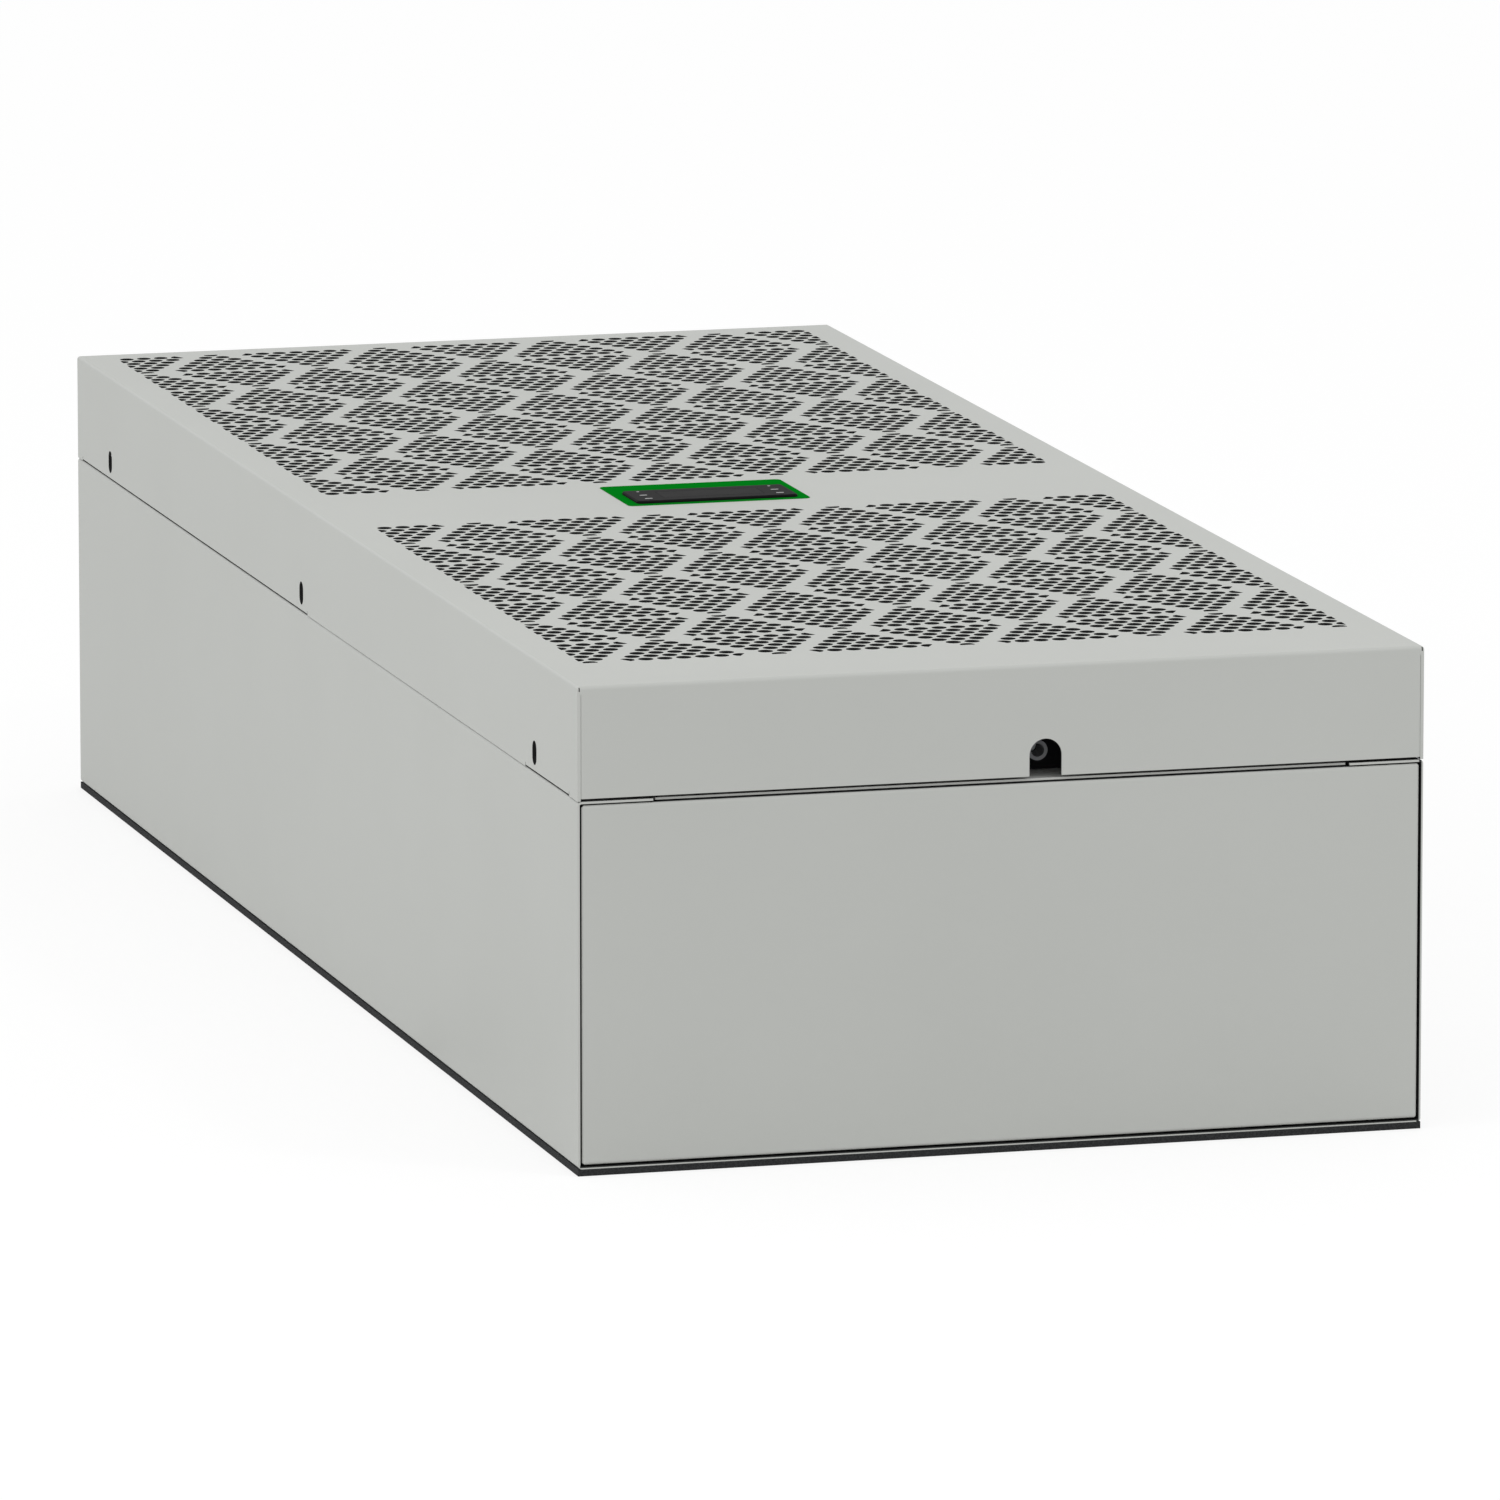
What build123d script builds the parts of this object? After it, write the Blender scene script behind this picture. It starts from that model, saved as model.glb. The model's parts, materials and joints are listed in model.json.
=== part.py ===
"""Side-mounted enclosure cooling unit, lying on the face that it bolts to the enclosure with.

X runs across the unit, +Y towards its upper end and +Z out of the enclosure wall,
so the perforated front looks up. The origin is the centre of the mounting face.
"""
import os
from math import cos, radians, sin, sqrt

from build123d import *

# Overall size
unit_width = 400.0
unit_length = 1000.0
unit_depth = 225.0
cover_depth = 52.6
cover_joint_gap = 0.2

# Sheet thicknesses, folds and fits
housing_sheet = 1.0
cover_sheet = 1.5
housing_bend = 1.8
cover_bend = 2.2
panel_bend = 1.5
front_lip = 36.5
lip_notch_width = 1.2
lip_notch_length = 6.0
seat_gap = 0.3
cut_past = 1.0

# Gasket round the mounting face
gasket_thickness = 3.2
gasket_width = 12.0

# End panels, and the strip that the unit hangs by
panel_gap = 0.8
panel_top_gap = 0.6
panel_flange = 14.0
panel_relief = 1.0
strip_thickness = 2.0
strip_height = 38.8
strip_inset = 2.0
strip_corner = 4.0

# Perforated front: patches of seven rows of round holes, set as diamonds
hole_pitch = 8.914
hole_diameter = 7.2
corner_trim = 1.0
rows_in_patch = 7
half_row_height = 56.0
base_row_inset = 5.95
grille_side_margin = 16.0
lower_grille_margin = 55.34
lower_half_rows = 7
band_length = 92.0
upper_grille_margin = 11.0

# Cut-backs along the cover's lower edge, which leave a dark line
joint_relief = 0.75
lower_relief_margin = 15.0
lower_relief_length = 77.5
upper_relief_margin = 11.0
upper_relief_start = 8.5

# Screw slots in the cover's sides, and the tabs behind them
slot_from_lower_end = 76.5
slot_from_upper_end = 73.0
slot_past_middle = 20.5
slot_width = 7.5
slot_length = 11.3
slot_rise = 9.0
tab_width = 20.0
tab_setback = 2.5
tab_foot = 15.0
tab_rise = 20.0

# Drain notch in the cover's lower end, and what is behind it
notch_width = 15.2
notch_height = 18.3
notch_offset = 19.8
drain_outer_radius = 4.7
drain_inner_radius = 3.05
drain_setback = 12.6
drain_stub = 12.0
tray_width = 300.0
tray_length = 33.0
tray_depth = 40.0
tray_sheet = 1.5
cross_plate_setback = 2.0
lower_plate_length = 74.0
upper_plate_length = 28.0

# Label and display on the band between the grilles
label_width = 91.0
label_length = 57.7
label_thickness = 0.3
label_corner = 3.0
label_left_of_middle = 3.75
label_above_band_middle = 6.3
bezel_width = 80.5
bezel_length = 31.5
bezel_rise = 1.4
bezel_corner = 2.5
bezel_edge = 0.6
bezel_below_label_middle = 9.35
display_boss_width = 70.0
display_boss_length = 25.0
display_fit = 0.2
window_width = 50.0
window_length = 16.0
window_thickness = 0.7
controller_width = 140.0
controller_length = 62.0
controller_height = 38.0

# Cross rail that carries the controller
rail_length = 70.0
rail_flange = 18.0
lip_overlap = 12.0

# Duct of the enclosure-side air circuit
front_bay_depth = 62.85
duct_from_lower_end = 370.0
inlet_from_upper_end = 130.0
inlet_radius = 84.0
inlet_slot = 12.0
inlet_web = 6.0
inlet_spine = 8.0
outlet_above_duct_end = 55.0
outlet_width = 260.0
outlet_length = 84.0
outlet_corner = 6.0
evaporator_from_upper_end = 380.0
evaporator_side_gap = 24.0
evaporator_thickness = 62.0
coil_plate = 2.0
coil_plate_margin = 3.0

# Radial fan behind the warm-air inlet
wheel_radius = 78.0
wheel_eye_radius = 49.0
wheel_height = 46.0
wheel_plate = 2.0
wheel_blades = 7
wheel_blade_lean = 40.0
wheel_clearance = 6.0
wheel_motor_width = 60.0

# Ambient-side coil and fan
condenser_side_gap = 3.0
condenser_above_rail = 30.0
condenser_from_upper_end = 35.0
condenser_thickness = 40.0
condenser_clearance = 8.0
fan_from_lower_end = 250.0
fan_plate_length = 372.0
fan_opening_radius = 126.0
fan_nozzle_depth = 14.0
fan_tip_distance = 116.0
fan_hub_radius = 44.0
fan_hub_height = 34.0
fan_blades = 5
blade_thickness = 2.0
blade_chord = 58.0
blade_pitch = 26.0
blade_camber = 5.0
fan_motor_radius = 40.0
fan_motor_height = 18.0
fan_arm_width = 24.0
fan_arm_thickness = 3.0
fan_arm_clearance = 3.0

# Compressor on its shelf
compressor_radius = 54.0
compressor_length = 188.0
compressor_dome = 16.0
compressor_from_side = 42.0
compressor_from_lower_end = 20.0
shelf_margin = 8.0
shelf_rise = 124.0
shelf_foot = 60.0

# Fixings into the enclosure wall
fixing_from_side = 25.0
fixing_from_end = 50.0
insert_bore_radius = 3.0
insert_across_flats = 9.0
insert_flange_width = 13.0
insert_flange = 0.8
insert_length = 14.0
insert_fit = 0.1

# Plug connector on the mounting face
plug_from_side = 80.0
plug_from_upper_end = 310.0
plug_width = 62.0
plug_length = 22.0
plug_depth = 30.0
plug_flange = 3.0
plug_fit = 0.2
plug_socket_width = 50.0
plug_socket_length = 12.0
plug_socket_depth = 10.0

# Heights, half sizes and places that follow
half_width = unit_width / 2
half_length = unit_length / 2
cover_base = unit_depth - cover_depth
fold_line = unit_depth - cover_bend
housing_top = cover_base - cover_joint_gap
floor_top = gasket_thickness + housing_sheet
duct_top = housing_top - front_bay_depth
duct_end = duct_from_lower_end - half_length
inlet_y = half_length - inlet_from_upper_end
evaporator_y = half_length - evaporator_from_upper_end
inner_half_width = half_width - housing_sheet
lip_edge = half_width - front_lip
hole_radius = hole_diameter / 2
column_step = hole_pitch * (rows_in_patch - 2)
patch_side = hole_pitch * (rows_in_patch - 1)
columns_each_side = int((half_width - grille_side_margin - hole_pitch / 2) / column_step)
lower_grille_start = lower_grille_margin - half_length
band_start = lower_grille_start + lower_half_rows * half_row_height
band_middle = band_start + band_length / 2
upper_grille_start = band_start + band_length
upper_half_rows = int((half_length - upper_grille_margin - upper_grille_start) / half_row_height)
label_x = -label_left_of_middle
label_y = band_middle + label_above_band_middle
display_y = label_y - bezel_below_label_middle
controller_top = housing_top + cover_sheet + controller_height
notch_radius = notch_width / 2
drain_height = cover_base + notch_height - notch_radius
tray_low = drain_setback + drain_stub - half_length
fan_y = fan_from_lower_end - half_length
shelf_y = compressor_from_lower_end - half_length
compressor_x = compressor_from_side + compressor_radius - half_width


def block(x_low, x_high, y_low, y_high, z_low, z_high):
    """Box between two opposite corners."""
    place = Pos((x_low + x_high) / 2, (y_low + y_high) / 2, (z_low + z_high) / 2)
    return place * Box(x_high - x_low, y_high - y_low, z_high - z_low)


def disc(radius, z_low, z_high, x=0.0, y=0.0):
    """Cylinder that stands along Z."""
    return Pos(x, y, (z_low + z_high) / 2) * Cylinder(radius, z_high - z_low)


def rod(radius, y_low, y_high, x, z):
    """Cylinder that lies along Y."""
    return Pos(x, (y_low + y_high) / 2, z) * Rot(90, 0, 0) * Cylinder(radius, y_high - y_low)


def slab(sketch, z_low, z_high):
    """Flat outline raised between two heights."""
    return Pos(0, 0, z_low) * extrude(sketch, z_high - z_low)


def patch_outline(points_up):
    """Outline round one triangular patch of holes, with its three corners trimmed."""
    reach = patch_side / sqrt(3) + corner_trim
    half_cut = (hole_radius - corner_trim * sin(radians(30))) / cos(radians(30))
    points = []
    for corner in range(3):
        angle = radians(90 + 120 * corner)
        for side in (1, -1):
            points.append((reach * cos(angle) + side * half_cut * sin(angle),
                           reach * sin(angle) - side * half_cut * cos(angle)))
    outline = make_face(Polyline(*points, close=True))
    return outline if points_up else Rot(0, 0, 180) * outline


def patch_place(start, row, column, points_up):
    """Place of a patch's centre, from its half-row and its column."""
    from_base = base_row_inset + patch_side * sqrt(3) / 6
    if points_up:
        return Pos(column * column_step, start + row * half_row_height + from_base)
    return Pos(column * column_step, start + (row + 1) * half_row_height - from_base)


def grille_pattern(start, half_rows, first_points_up):
    """All the patches of one grille, clipped at the pattern's straight sides."""
    pattern_height = half_rows * half_row_height
    clip_width = 2 * columns_each_side * column_step + hole_pitch
    clip = Pos(0, start + pattern_height / 2) * Rectangle(clip_width, pattern_height)
    patches = []
    for row in range(half_rows):
        for column in range(-columns_each_side, columns_each_side + 1):
            points_up = ((row + column) % 2 == 0) == first_points_up
            place = patch_place(start, row, column, points_up)
            patches.append((place * patch_outline(points_up)) & clip)
    return Sketch() + patches


def folded_hood():
    """The hood's sheet: a face with four flanges folded down from it."""
    hood = block(-half_width, half_width, -half_length, half_length, cover_base, unit_depth)
    hood = fillet(hood.edges().group_by(Axis.Z)[-1], cover_bend)
    hollow = block(-half_width + cover_sheet, half_width - cover_sheet,
                   -half_length + cover_sheet, half_length - cover_sheet,
                   cover_base - cut_past, unit_depth - cover_sheet)
    return hood - fillet(hollow.edges().group_by(Axis.Z)[-1], cover_bend - cover_sheet)


def cover_face():
    """The hood's face and bends, with both grilles and the display's opening punched out."""
    face = folded_hood() & block(-half_width, half_width, -half_length, half_length,
                                 fold_line, unit_depth)
    low = fold_line - cut_past
    high = unit_depth + cut_past
    face -= slab(grille_pattern(lower_grille_start, lower_half_rows, False), low, high)
    face -= slab(grille_pattern(upper_grille_start, upper_half_rows, True), low, high)
    return face - slab(display_outline(display_boss_width, display_boss_length, display_fit),
                       low, high)


def cover_side(sign):
    """One long flange of the hood, with its screw slots and cut-backs."""
    x_low, x_high = sorted((sign * half_width, sign * (half_width - cover_sheet)))
    flange = block(x_low, x_high, -half_length, half_length, cover_base, fold_line)
    for y in slot_places():
        flange -= screw_slot(y)
    low = lower_relief_margin - half_length
    high = half_length - upper_relief_margin
    for y_low, y_high in ((low, low + lower_relief_length), (upper_relief_start, high)):
        flange -= block(x_low - cut_past, x_high + cut_past, y_low, y_high,
                        cover_base - cut_past, cover_base + joint_relief)
    return flange


def cover_end(sign):
    """One short flange of the hood, cut back along its lower edge."""
    y_low, y_high = sorted((sign * half_length, sign * (half_length - cover_sheet)))
    reach = half_width - cover_sheet
    flange = block(-reach, reach, y_low, y_high, cover_base + joint_relief, fold_line)
    return flange - drain_notch() if sign < 0 else flange


def display_outline(width, length, fit=0.0):
    """Rectangle centred where the display sits."""
    return Pos(label_x, display_y) * Rectangle(width + 2 * fit, length + 2 * fit)


def drain_notch():
    """Round-topped notch through the lower end's flange."""
    outside = -half_length - cut_past
    inside = -half_length + cover_sheet + cut_past
    legs = block(notch_offset - notch_radius, notch_offset + notch_radius, outside, inside,
                 cover_base - cut_past, drain_height)
    return legs + rod(notch_radius, outside, inside, notch_offset, drain_height)


def slot_places():
    """Distances of the screw slots along the unit."""
    return (slot_from_lower_end - half_length, slot_past_middle,
            half_length - slot_from_upper_end)


def screw_slot(y):
    """Upright slot through a side flange."""
    place = Plane.YZ * Pos(y, cover_base + slot_rise) * Rot(0, 0, 90)
    return extrude(place * SlotOverall(slot_length, slot_width), half_width + cut_past, both=True)


def housing():
    """Back and side walls folded from one sheet, with notched lips that the front parts sit on."""
    height = housing_top - gasket_thickness
    middle = (housing_top + gasket_thickness) / 2
    outer = RectangleRounded(unit_width, height, housing_bend)
    inner = RectangleRounded(unit_width - 2 * housing_sheet, height - 2 * housing_sheet,
                             housing_bend - housing_sheet)
    mouth = Pos(0, height / 2) * Rectangle(2 * lip_edge, 2 * (housing_sheet + cut_past))
    profile = Plane.XZ * Pos(0, middle) * (outer - inner - mouth)
    body = extrude(profile, half_length, both=True)
    low = gasket_thickness - cut_past
    high = floor_top + cut_past
    body -= slab(inlet_slots(), low, high)
    outlet = RectangleRounded(outlet_width, outlet_length, outlet_corner)
    body -= slab(Pos(0, duct_end + outlet_above_duct_end) * outlet, low, high)
    body -= slab(plug_place() * Rectangle(plug_width + 2 * plug_fit, plug_length + 2 * plug_fit),
                 low, high)
    hole = RegularPolygon(insert_across_flats / 2 + insert_fit, 6, major_radius=False)
    for place in fixing_places():
        body -= slab(place * hole, low, high)
    for end in (-1, 1):
        y_low, y_high = sorted((end * (half_length + cut_past),
                                end * (half_length - lip_notch_length)))
        for sign in (-1, 1):
            edges = sorted((sign * (lip_edge - cut_past), sign * (lip_edge + lip_notch_width)))
            body -= block(*edges, y_low, y_high, housing_top - housing_sheet - cut_past,
                          housing_top + cut_past)
    return body


def inlet_slots():
    """Punched finger guard: straight slots that fill a circle, either side of a spine."""
    step = inlet_slot + inlet_web
    rows = int((inlet_radius - inlet_slot / 2) / step)
    slots = []
    for row in range(-rows, rows + 1):
        outer_edge = abs(row) * step + inlet_slot / 2
        length = sqrt(inlet_radius ** 2 - outer_edge ** 2) - inlet_spine / 2
        for sign in (-1, 1):
            place = Pos(sign * (inlet_spine + length) / 2, row * step)
            slots.append(place * Rectangle(length, inlet_slot))
    return Pos(0, inlet_y) * (Sketch() + slots)


def fixing_places():
    """Centres of the threaded inserts: the four corners and the middle of each side."""
    x = half_width - fixing_from_side
    y = half_length - fixing_from_end
    return [Pos(sx * x, sy * y) for sy in (-1, 0, 1) for sx in (-1, 1)]


def plug_place():
    """Centre of the plug connector."""
    return Pos(half_width - plug_from_side, half_length - plug_from_upper_end)


def end_panel(end):
    """Shallow folded tray that closes one end between the side walls."""
    half = inner_half_width - panel_gap
    low = floor_top + panel_gap
    high = housing_top - housing_sheet - panel_top_gap
    tray = block(-half, half, half_length - panel_flange, half_length, low, high)
    tray = fillet(tray.edges().group_by(Axis.Y)[-1], panel_bend)
    hollow = block(-half + housing_sheet, half - housing_sheet,
                   half_length - panel_flange - cut_past, half_length - housing_sheet,
                   low + housing_sheet, high - housing_sheet)
    tray -= hollow
    for x in (-half, half):
        for z in (low, high):
            tray -= rod(panel_relief, half_length - panel_flange - cut_past,
                        half_length + cut_past, x, z)
    return tray if end > 0 else mirror(tray, about=Plane.XZ)


def hanging_strip():
    """Flat strip across the upper end, which takes the unit's weight while it is bolted on."""
    width = unit_width - 2 * strip_inset
    outline = Pos(0, gasket_thickness + strip_height / 2) * RectangleRounded(
        width, strip_height, strip_corner)
    plate = extrude(Plane.XZ * outline, -strip_thickness)
    return Pos(0, half_length, 0) * plate


def gasket_side(sign):
    """Foam strip along one side of the mounting face."""
    edges = sorted((sign * half_width, sign * (half_width - gasket_width)))
    return block(*edges, -half_length, half_length, 0, gasket_thickness)


def gasket_end(sign):
    """Foam strip across one end, between the side strips."""
    edges = sorted((sign * half_length, sign * (half_length - gasket_width)))
    reach = half_width - gasket_width
    return block(-reach, reach, *edges, 0, gasket_thickness)


def cover_tabs(sign):
    """Three angle tabs on one lip, which the cover's screws go into."""
    outer = half_width - cover_sheet - tab_setback
    tabs = []
    for y in slot_places():
        y_low = y - tab_width / 2
        y_high = y + tab_width / 2
        tab = block(outer - tab_foot, outer, y_low, y_high, housing_top, housing_top + cover_sheet)
        tab += block(outer - cover_sheet, outer, y_low, y_high, housing_top, housing_top + tab_rise)
        tabs.append(tab if sign > 0 else mirror(tab, about=Plane.YZ))
    return Compound(children=tabs)


def label_plate():
    """Thin label on the band, open where the display comes through."""
    outline = Pos(label_x, label_y) * RectangleRounded(label_width, label_length, label_corner)
    opening = display_outline(display_boss_width, display_boss_length, display_fit)
    return slab(outline - opening, unit_depth, unit_depth + label_thickness)


def display_bezel():
    """Raised display frame whose body passes through the cover to the controller."""
    low = unit_depth + label_thickness
    high = low + bezel_rise
    outline = Pos(label_x, display_y) * RectangleRounded(bezel_width, bezel_length, bezel_corner)
    frame = slab(outline, low, high)
    frame = chamfer(frame.edges().group_by(Axis.Z)[-1], bezel_edge)
    frame += slab(display_outline(display_boss_width, display_boss_length), controller_top, low)
    recess = display_outline(window_width, window_length, display_fit)
    return frame - slab(recess, high - window_thickness, high + cut_past)


def display_window():
    """Tinted pane let into the display frame."""
    high = unit_depth + label_thickness + bezel_rise
    return slab(display_outline(window_width, window_length), high - window_thickness, high)


def controller_box():
    """Closed electronics box on the cross rail."""
    return slab(display_outline(controller_width, controller_length),
                housing_top + cover_sheet, controller_top)


def cross_plate(end, length):
    """Flat plate between the lips at one end, level with them."""
    reach = lip_edge - seat_gap
    edge = half_length - cross_plate_setback
    y_low, y_high = sorted((end * edge, end * (edge - length)))
    return block(-reach, reach, y_low, y_high, housing_top - housing_sheet, housing_top)


def centre_rail():
    """Channel that spans the two lips."""
    half = rail_length / 2
    reach = lip_edge + lip_overlap
    rail = block(-reach, reach, display_y - half, display_y + half,
                 housing_top, housing_top + cover_sheet)
    inside = lip_edge - seat_gap
    for sign in (-1, 1):
        edge = display_y + sign * half
        y_low, y_high = sorted((edge, edge - sign * cover_sheet))
        rail += block(-inside, inside, y_low, y_high, housing_top - rail_flange, housing_top)
    return rail


def partition():
    """Folded wall between the two air circuits."""
    reach = inner_half_width - seat_gap
    far_end = half_length - panel_flange - seat_gap
    top = block(-reach, reach, duct_end, far_end, duct_top, duct_top + housing_sheet)
    leg_reach = reach - (housing_bend - housing_sheet)
    leg = block(-leg_reach, leg_reach, duct_end, duct_end + housing_sheet, floor_top, duct_top)
    return top + leg


def coil(x_reach, y_low, y_high, z_low, z_high):
    """Finned block between two end plates."""
    fins = block(-x_reach, x_reach, y_low, y_high, z_low, z_high)
    for sign in (-1, 1):
        edges = sorted((sign * x_reach, sign * (x_reach + coil_plate)))
        fins += block(*edges, y_low - coil_plate_margin, y_high + coil_plate_margin, z_low, z_high)
    return fins


def evaporator_coil():
    """Coil that fills the duct between the fan and the cold-air outlet."""
    half = evaporator_thickness / 2
    return coil(inner_half_width - evaporator_side_gap, evaporator_y - half, evaporator_y + half,
                floor_top, duct_top - seat_gap)


def condenser_coil():
    """Coil under the upper grille, held above the partition by its end plates."""
    low = duct_top + housing_sheet
    high = low + condenser_clearance + condenser_thickness
    y_low = display_y + rail_length / 2 + condenser_above_rail
    y_high = half_length - condenser_from_upper_end
    reach = lip_edge - condenser_side_gap
    whole = coil(reach, y_low, y_high, low, high)
    return whole - block(-reach, reach, y_low - cut_past, y_high + cut_past,
                         low - cut_past, low + condenser_clearance)


def evaporator_fan_wheel():
    """Radial wheel with backward-leaning blades between a plate and an inlet ring."""
    low = floor_top + wheel_clearance
    high = low + wheel_height
    wheel = disc(wheel_radius, high - wheel_plate, high)
    wheel += slab(Circle(wheel_radius) - Circle(wheel_eye_radius), low, low + wheel_plate)
    span = wheel_radius - wheel_eye_radius - 2 * wheel_plate
    middle = Pos((wheel_radius + wheel_eye_radius) / 2, 0) * Rot(0, 0, wheel_blade_lean)
    outline = middle * Rectangle(span / cos(radians(wheel_blade_lean)), wheel_plate)
    blade = slab(outline, low + wheel_plate, high - wheel_plate)
    for index in range(wheel_blades):
        wheel += Rot(0, 0, index * 360 / wheel_blades) * blade
    return Pos(0, inlet_y, 0) * wheel


def evaporator_fan_motor():
    """Square-framed motor that hangs the radial wheel from the partition."""
    low = floor_top + wheel_clearance + wheel_height
    half = wheel_motor_width / 2
    return block(-half, half, inlet_y - half, inlet_y + half, low, duct_top)


def condenser_fan_plate():
    """Bulkhead on the lips with a nozzle round the axial fan."""
    reach = lip_edge + lip_overlap
    half = fan_plate_length / 2
    high = housing_top + cover_sheet
    plate = block(-reach, reach, fan_y - half, fan_y + half, housing_top, high)
    plate += disc(fan_opening_radius + cover_sheet, housing_top - fan_nozzle_depth, high, 0, fan_y)
    return plate - disc(fan_opening_radius, housing_top - fan_nozzle_depth - cut_past,
                        high + cut_past, 0, fan_y)


def fan_blade():
    """One pressed blade, bent along its middle and set at its pitch, from inside the hub."""
    half = blade_chord / 2
    bend = Polyline((-half, 0), (0, blade_camber), (half, 0))
    section = Rot(0, 0, blade_pitch) * trace(bend, blade_thickness)
    root = fan_hub_radius - 2 * blade_thickness
    return extrude(Plane.YZ.offset(root) * section, fan_tip_distance - root)


def condenser_fan_rotor():
    """Axial rotor, its hub level with the bulkhead's seat."""
    low = housing_top - fan_hub_height
    rotor = disc(fan_hub_radius, low, housing_top)
    blade = Pos(0, 0, low + fan_hub_height / 2) * fan_blade()
    for index in range(fan_blades):
        rotor += Rot(0, 0, index * 360 / fan_blades) * blade
    return Pos(0, fan_y, 0) * rotor


def condenser_fan_motor():
    """Motor under the rotor, on a strap that hangs from the bulkhead."""
    high = housing_top - fan_hub_height
    low = high - fan_motor_height
    inner = fan_opening_radius + cover_sheet + fan_arm_clearance
    outer = inner + fan_arm_thickness
    half = fan_arm_width / 2
    motor = disc(fan_motor_radius, low, high, 0, fan_y)
    motor += block(-outer, outer, fan_y - half, fan_y + half, low, low + fan_arm_thickness)
    for sign in (-1, 1):
        edges = sorted((sign * inner, sign * outer))
        motor += block(*edges, fan_y - half, fan_y + half, low, housing_top)
    return motor


def compressor():
    """Rotary compressor standing on its shelf, with a domed top."""
    low = shelf_y + housing_sheet
    height = floor_top + housing_sheet + seat_gap + compressor_radius
    shell = rod(compressor_radius, low, low + compressor_length, compressor_x, height)
    return chamfer(shell.edges().filter_by(GeomType.CIRCLE).sort_by(Axis.Y)[-1], compressor_dome)


def compressor_shelf():
    """Angle shelf on the back wall."""
    x_low = compressor_x - compressor_radius - shelf_margin
    x_high = compressor_x + compressor_radius + shelf_margin
    shelf = block(x_low, x_high, shelf_y, shelf_y + housing_sheet, floor_top, floor_top + shelf_rise)
    return shelf + block(x_low, x_high, shelf_y, shelf_y + shelf_foot, floor_top,
                         floor_top + housing_sheet)


def condensate_tray():
    """Tray on the lower cross plate, open towards the unit's upper end."""
    half = tray_width / 2
    high = housing_top + tray_depth
    tray = block(-half, half, tray_low, tray_low + tray_length, housing_top, high)
    tray -= block(-half + tray_sheet, half - tray_sheet, tray_low + tray_sheet,
                  tray_low + tray_length + cut_past, housing_top + tray_sheet, high - tray_sheet)
    return tray - rod(drain_inner_radius, tray_low - cut_past, tray_low + tray_sheet + cut_past,
                      notch_offset, drain_height)


def drain_tube():
    """Spigot on the tray's floor, ending behind the notch."""
    end = drain_setback - half_length
    tube = rod(drain_outer_radius, end, tray_low, notch_offset, drain_height)
    return tube - rod(drain_inner_radius, end - cut_past, tray_low + cut_past,
                      notch_offset, drain_height)


def power_connector():
    """Plug-in connector body set into the mounting face."""
    low = gasket_thickness - plug_flange
    flange = Rectangle(plug_width + 2 * plug_flange, plug_length + 2 * plug_flange)
    body = slab(flange, low, gasket_thickness)
    body += slab(Rectangle(plug_width, plug_length), low, low + plug_depth)
    body -= slab(Rectangle(plug_socket_width, plug_socket_length), low - cut_past,
                 low + plug_socket_depth)
    return plug_place() * body


def mounting_inserts():
    """Threaded inserts, each a hexagonal bush with a flange under the back wall."""
    low = gasket_thickness - insert_flange
    bush = slab(RegularPolygon(insert_flange_width / 2, 6, major_radius=False),
                low, gasket_thickness)
    bush += slab(RegularPolygon(insert_across_flats / 2, 6, major_radius=False),
                 low, low + insert_length)
    bush -= disc(insert_bore_radius, low - cut_past, low + insert_length + cut_past)
    return Compound(children=[place * bush for place in fixing_places()])


nodes = {
    "cover_face": cover_face(),
    "cover_left_side": cover_side(-1),
    "cover_right_side": cover_side(1),
    "cover_bottom_end": cover_end(-1),
    "cover_top_end": cover_end(1),
    "housing": housing(),
    "bottom_end_panel": end_panel(-1),
    "top_end_panel": end_panel(1),
    "hanging_strip": hanging_strip(),
    "gasket_left": gasket_side(-1),
    "gasket_right": gasket_side(1),
    "gasket_bottom": gasket_end(-1),
    "gasket_top": gasket_end(1),
    "left_cover_tabs": cover_tabs(-1),
    "right_cover_tabs": cover_tabs(1),
    "label_plate": label_plate(),
    "display_bezel": display_bezel(),
    "display_window": display_window(),
    "controller_box": controller_box(),
    "lower_cross_plate": cross_plate(-1, lower_plate_length),
    "upper_cross_plate": cross_plate(1, upper_plate_length),
    "centre_rail": centre_rail(),
    "partition": partition(),
    "evaporator_coil": evaporator_coil(),
    "evaporator_fan_wheel": evaporator_fan_wheel(),
    "evaporator_fan_motor": evaporator_fan_motor(),
    "condenser_coil": condenser_coil(),
    "condenser_fan_plate": condenser_fan_plate(),
    "condenser_fan_rotor": condenser_fan_rotor(),
    "condenser_fan_motor": condenser_fan_motor(),
    "compressor": compressor(),
    "compressor_shelf": compressor_shelf(),
    "condensate_tray": condensate_tray(),
    "drain_tube": drain_tube(),
    "power_connector": power_connector(),
    "mounting_inserts": mounting_inserts(),
}

os.makedirs("parts", exist_ok=True)
for name, solid in nodes.items():
    export_step(solid, f"parts/{name}.step")
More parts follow.
